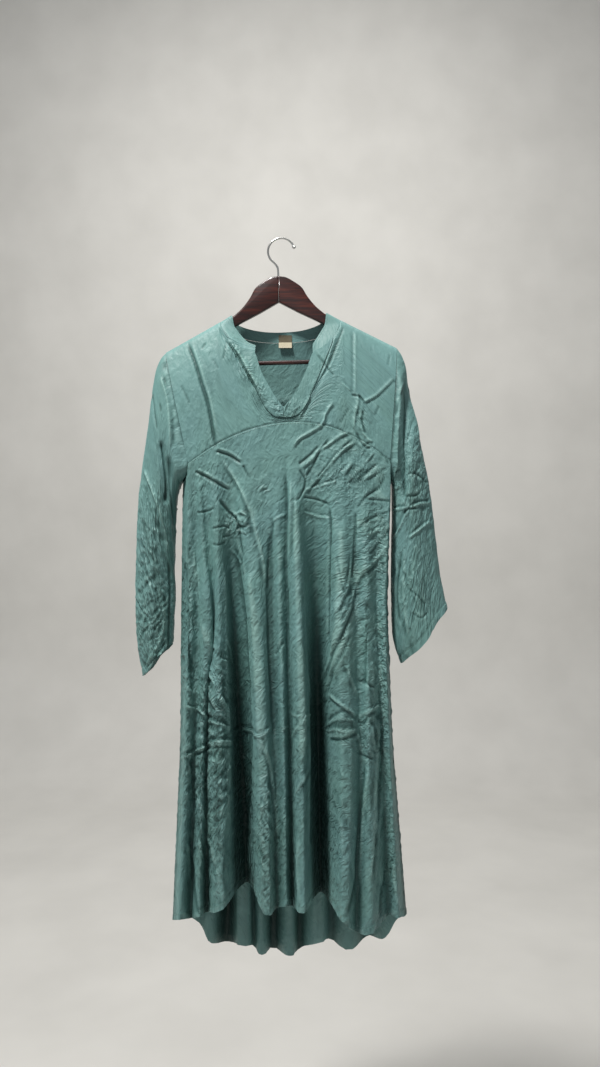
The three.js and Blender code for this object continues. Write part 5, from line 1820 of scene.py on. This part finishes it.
# %% [markdown]
# ## Stitches
#
# A dress is held by rows of stitches, each a short straight length of thread. One node tree lays
# them along any line: it walks the line at the stitch length and sets a small rod at each step.


# %% The tree that lays stitches
STITCH = {"step": 0.0036, "length": 0.0025, "radius": 0.00026, "sides": 5, "seed": 7}


def stitch_tree():
    tree = bpy.data.node_groups.new("stitches", "GeometryNodeTree")
    face = tree.interface
    face.new_socket("Line", in_out="INPUT", socket_type="NodeSocketGeometry")
    for label in ("Step", "Length", "Radius"):
        socket = face.new_socket(label, in_out="INPUT", socket_type="NodeSocketFloat")
        socket.default_value = STITCH[label.lower()]
    face.new_socket("Seed", in_out="INPUT", socket_type="NodeSocketInt").default_value = STITCH["seed"]
    face.new_socket("Thread", in_out="INPUT", socket_type="NodeSocketMaterial")
    face.new_socket("Stitches", in_out="OUTPUT", socket_type="NodeSocketGeometry")
    nodes, link = tree.nodes, tree.links.new
    given, out = nodes.new("NodeGroupInput"), nodes.new("NodeGroupOutput")
    line = nodes.new("GeometryNodeMeshToCurve")
    walk = nodes.new("GeometryNodeCurveToPoints")
    walk.mode = "LENGTH"
    rod = nodes.new("GeometryNodeMeshCylinder")
    rod.inputs["Vertices"].default_value = STITCH["sides"]
    uneven = nodes.new("FunctionNodeRandomValue")
    uneven.inputs[2].default_value, uneven.inputs[3].default_value = 0.85, 1.1
    place = nodes.new("GeometryNodeInstanceOnPoints")
    real = nodes.new("GeometryNodeRealizeInstances")
    paint = nodes.new("GeometryNodeSetMaterial")
    link(given.outputs["Line"], line.inputs["Mesh"])
    link(line.outputs["Curve"], walk.inputs["Curve"])
    link(given.outputs["Step"], walk.inputs["Length"])
    link(given.outputs["Radius"], rod.inputs["Radius"])
    link(given.outputs["Length"], rod.inputs["Depth"])
    link(given.outputs["Seed"], uneven.inputs["Seed"])
    link(walk.outputs["Points"], place.inputs["Points"])
    link(walk.outputs["Rotation"], place.inputs["Rotation"])
    link(rod.outputs["Mesh"], place.inputs["Instance"])
    link(uneven.outputs[1], place.inputs["Scale"])
    link(place.outputs["Instances"], real.inputs["Geometry"])
    link(real.outputs["Geometry"], paint.inputs["Geometry"])
    link(given.outputs["Thread"], paint.inputs["Material"])
    link(paint.outputs["Geometry"], out.inputs["Stitches"])
    return tree


stitches = stitch_tree()
inputs = [item for item in stitches.interface.items_tree if item.in_out == "INPUT"]
sockets = {item.name: item.identifier for item in inputs}
print("stitch tree inputs:", sorted(sockets))


# %% [markdown]
# Rows run beside the arched seam, above the hems and cuffs, and along the facings and the neckband.
# Each is a line of points read off a pressed shell, lifted a little to lie on the cloth.

# %% Laying the rows
STITCH_LIFT = 0.15  # the thread lies on the cloth


def stitch_rows(name, lines):
    """One object with stitches along several lines of points in millimetres."""
    points, edges = [], []
    for line in lines:
        start = len(points)
        points += [tuple(p * MM) for p in line]
        edges += [(start + i, start + i + 1) for i in range(len(line) - 1)]
    mesh = bpy.data.meshes.new(name)
    mesh.from_pydata(points, edges, [])
    laid = bpy.data.objects.new(name, mesh)
    bpy.context.scene.collection.objects.link(laid)
    modifier = laid.modifiers.new("stitches", "NODES")
    modifier.node_group = stitches
    modifier[sockets["Thread"]] = thread
    modifier[sockets["Seed"]] = STITCH["seed"]
    modifier[sockets["Step"]] = STITCH["step"]
    modifier[sockets["Length"]] = STITCH["length"]
    modifier[sockets["Radius"]] = STITCH["radius"]
    bpy.context.view_layer.update()
    seen_now = laid.evaluated_get(bpy.context.evaluated_depsgraph_get())
    plain = bpy.data.meshes.new_from_object(seen_now)
    laid.modifiers.clear()
    laid.data = plain
    return laid


def row_on(name, row=None, column=None):
    """The line of points of a pressed shell's row or column, lifted to lie on the cloth."""
    outer = pressed_shells[name][0]
    lifted = outer + normals_of(outer, name.startswith("sleeve")) * STITCH_LIFT
    return lifted[row] if column is None else lifted[:, column]


def row_at(name, from_edge, bottom=True):
    """Index of the row that lies this far in from the bottom or top edge."""
    down = lengths_down(pressed_shells[name][0]).mean(1)
    place = down[-1] - from_edge if bottom else from_edge
    return int(np.abs(down - place).argmin())


SEWN = {
    "stitches_arch": [("front_panel", 3, False)],
    "stitches_hem": [("front_panel", 11, True), ("back_panel", 11, True)],
    "stitches_cuffs": [("sleeve_left", 11, True), ("sleeve_right", 11, True)],
    "stitches_facing": [("neck_facing_left", 2.5, True), ("neck_facing_right", 2.5, True)],
    "stitches_band": [("neckband", 2.5, False)],
}
sewn = {}
for name, rows in SEWN.items():
    lines = [row_on(piece, row=row_at(piece, edge, bottom)) for piece, edge, bottom in rows]
    sewn[name] = stitch_rows(name, lines)
    print(name, len(sewn[name].data.polygons), "faces")

# %% [markdown]
# ## The hanger
#
# Two flat wooden arms meet at the middle, joined by a round bar, with a bent wire screwed in. The
# CAD solids already have their true shape, so a merged copy with smooth faces stands for each.


# %% Merged, smooth copies of the hanger's solids
def smooth_copy(node, finish, degrees):
    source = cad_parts[node]
    mesh = source.data.copy()
    mesh.transform(source.matrix_world)
    work = bmesh.new()
    work.from_mesh(mesh)
    bmesh.ops.remove_doubles(work, verts=work.verts, dist=1e-5)
    bmesh.ops.recalc_face_normals(work, faces=work.faces)
    work.to_mesh(mesh)
    work.free()
    mesh.materials.clear()
    mesh.materials.append(finish)
    mesh.shade_smooth()
    mesh.set_sharp_from_angle(angle=math.radians(degrees))
    made = bpy.data.objects.new("smooth_" + node, mesh)
    bpy.context.scene.collection.objects.link(made)
    return made


HANGER = {"hanger_arm_left": wood, "hanger_arm_right": wood, "hanger_bar": wood, "hanger_hook": wire}
for node, finish in HANGER.items():
    objects[node] = smooth_copy(node, finish, 40)
    print(objects[node].name, len(objects[node].data.polygons), "faces")

# %% [markdown]
# ## Handing the pieces over
#
# Every piece replaces its CAD solid and rides on the one body.
# Each sheet states its cut, because cloth can't be larger or smaller than what was cut.

# %% Rides and cuts
HANGER_PIECES = [objects[node] for node in HANGER]
RESTS = {
    "front_yoke": HANGER_PIECES[:2],
    "front_panel": [objects["front_yoke"]],
    "back_panel": HANGER_PIECES[:2],
    "sleeve_left": [objects["front_yoke"], objects["back_panel"]],
    "sleeve_right": [objects["front_yoke"], objects["back_panel"]],
    "neckband": [objects["front_yoke"], objects["back_panel"]],
    "neck_facing_left": [objects["front_yoke"]],
    "neck_facing_right": [objects["front_yoke"]],
    "neck_label": [objects["neckband"]],
}
for node, made in objects.items():
    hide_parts(node)
    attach(made, "root")
for made in sewn.values():
    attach(made, "root")
for node, rests_on in RESTS.items():
    width, length, area = cut_of(pressed_shells[node][0])
    print(node, "cut", round(width, 3), "by", round(length, 3), "m,", round(area, 4), "square metres")

# %% [markdown]
# ## Floor, light and camera
#
# The floor is plain and pale and turns up far behind the dress, so that nothing but the dress and
# its hanger draws the eye.

# %% Floor and backdrop in one sweep
FLOOR = {"z": -2.1, "front": -4.0, "bend_from": 3.2, "radius": 1.0, "top": 7.0, "half_width": 6.0}


def sweep():
    line = [(FLOOR["front"], FLOOR["z"])]
    for i in range(13):
        turn = math.radians(90 * i / 12)
        y = FLOOR["bend_from"] + FLOOR["radius"] * math.sin(turn)
        line.append((y, FLOOR["z"] + FLOOR["radius"] * (1 - math.cos(turn))))
    line.append((FLOOR["bend_from"] + FLOOR["radius"], FLOOR["top"]))
    points = [(x, y, z) for y, z in line for x in (-FLOOR["half_width"], FLOOR["half_width"])]
    faces = [(2 * i, 2 * i + 1, 2 * i + 3, 2 * i + 2) for i in range(len(line) - 1)]
    mesh = bpy.data.meshes.new("floor")
    mesh.from_pydata(points, [], faces)
    mesh.shade_smooth()
    made = bpy.data.objects.new("floor", mesh)
    bpy.context.scene.collection.objects.link(made)
    return made


def floor_material():
    made, tree, shader = material("pale floor")
    place = add(tree, "ShaderNodeTexCoord").outputs["Object"]
    cloudy = noise(tree, place, 3, 3)
    colour = ramp(tree, cloudy, [(0.3, linear(205, 203, 198)), (0.7, linear(213, 211, 206))])
    tree.links.new(colour, shader.inputs["Base Color"])
    shader.inputs["Roughness"].default_value = 0.8
    return made


floor = sweep()
floor.data.materials.append(floor_material())
print("floor at", FLOOR["z"], "m")

# %% [markdown]
# Creases show only where light grazes them. A small strong lamp high in front and to the left does
# that. A wide weak one fills the front, so that the valleys stay dark, and the third is turned to
# the backdrop.

# %% Lamps
Lamp = namedtuple("Lamp", "name place towards size power colour")
LAMPS = [
    Lamp("key", (-0.7, -1.05, 1.9), (0, 0, -0.7), 0.3, 108, (1, 0.985, 0.965)),
    Lamp("fill", (-0.9, -2.4, 0.2), (0, 0, -0.7), 1.6, 2, (0.93, 0.97, 1)),
    Lamp("backdrop", (0, 1.3, 2.4), (0, 4.2, -0.6), 2.5, 80, (1, 0.99, 0.97)),
]
for lamp in LAMPS:
    light = bpy.data.lights.new(lamp.name, "AREA")
    light.size, light.energy, light.color = lamp.size, lamp.power, lamp.colour
    made = bpy.data.objects.new(lamp.name, light)
    made.location = lamp.place
    aim = Vector(lamp.towards) - Vector(lamp.place)
    made.rotation_euler = aim.to_track_quat("-Z", "Y").to_euler()
    bpy.context.scene.collection.objects.link(made)
WORLD = {"colour": (0.85, 0.88, 0.9, 1), "strength": 0.3}
world = bpy.context.scene.world or bpy.data.worlds.new("World")
bpy.context.scene.world = world
world.use_nodes = True
background = world.node_tree.nodes["Background"]
background.inputs["Color"].default_value = WORLD["colour"]
background.inputs["Strength"].default_value = WORLD["strength"]
bpy.context.scene.view_settings.view_transform = "Standard"
print(len(LAMPS), "lamps")

# %% [markdown]
# The camera is level, as far away and as high as the perspective of the hem and the hanger says.

# %% Camera where the photograph was taken from
CAMERA = {"place": (0.0338, -1.424, -0.524), "lens": 26.99}
eye = bpy.data.cameras.new("camera")
eye.lens = CAMERA["lens"]
eye.sensor_width = 36
eye.sensor_fit = "AUTO"
camera = bpy.data.objects.new("camera", eye)
camera.location = CAMERA["place"]
camera.rotation_euler = (math.pi / 2, 0, 0)
bpy.context.scene.collection.objects.link(camera)
bpy.context.scene.camera = camera
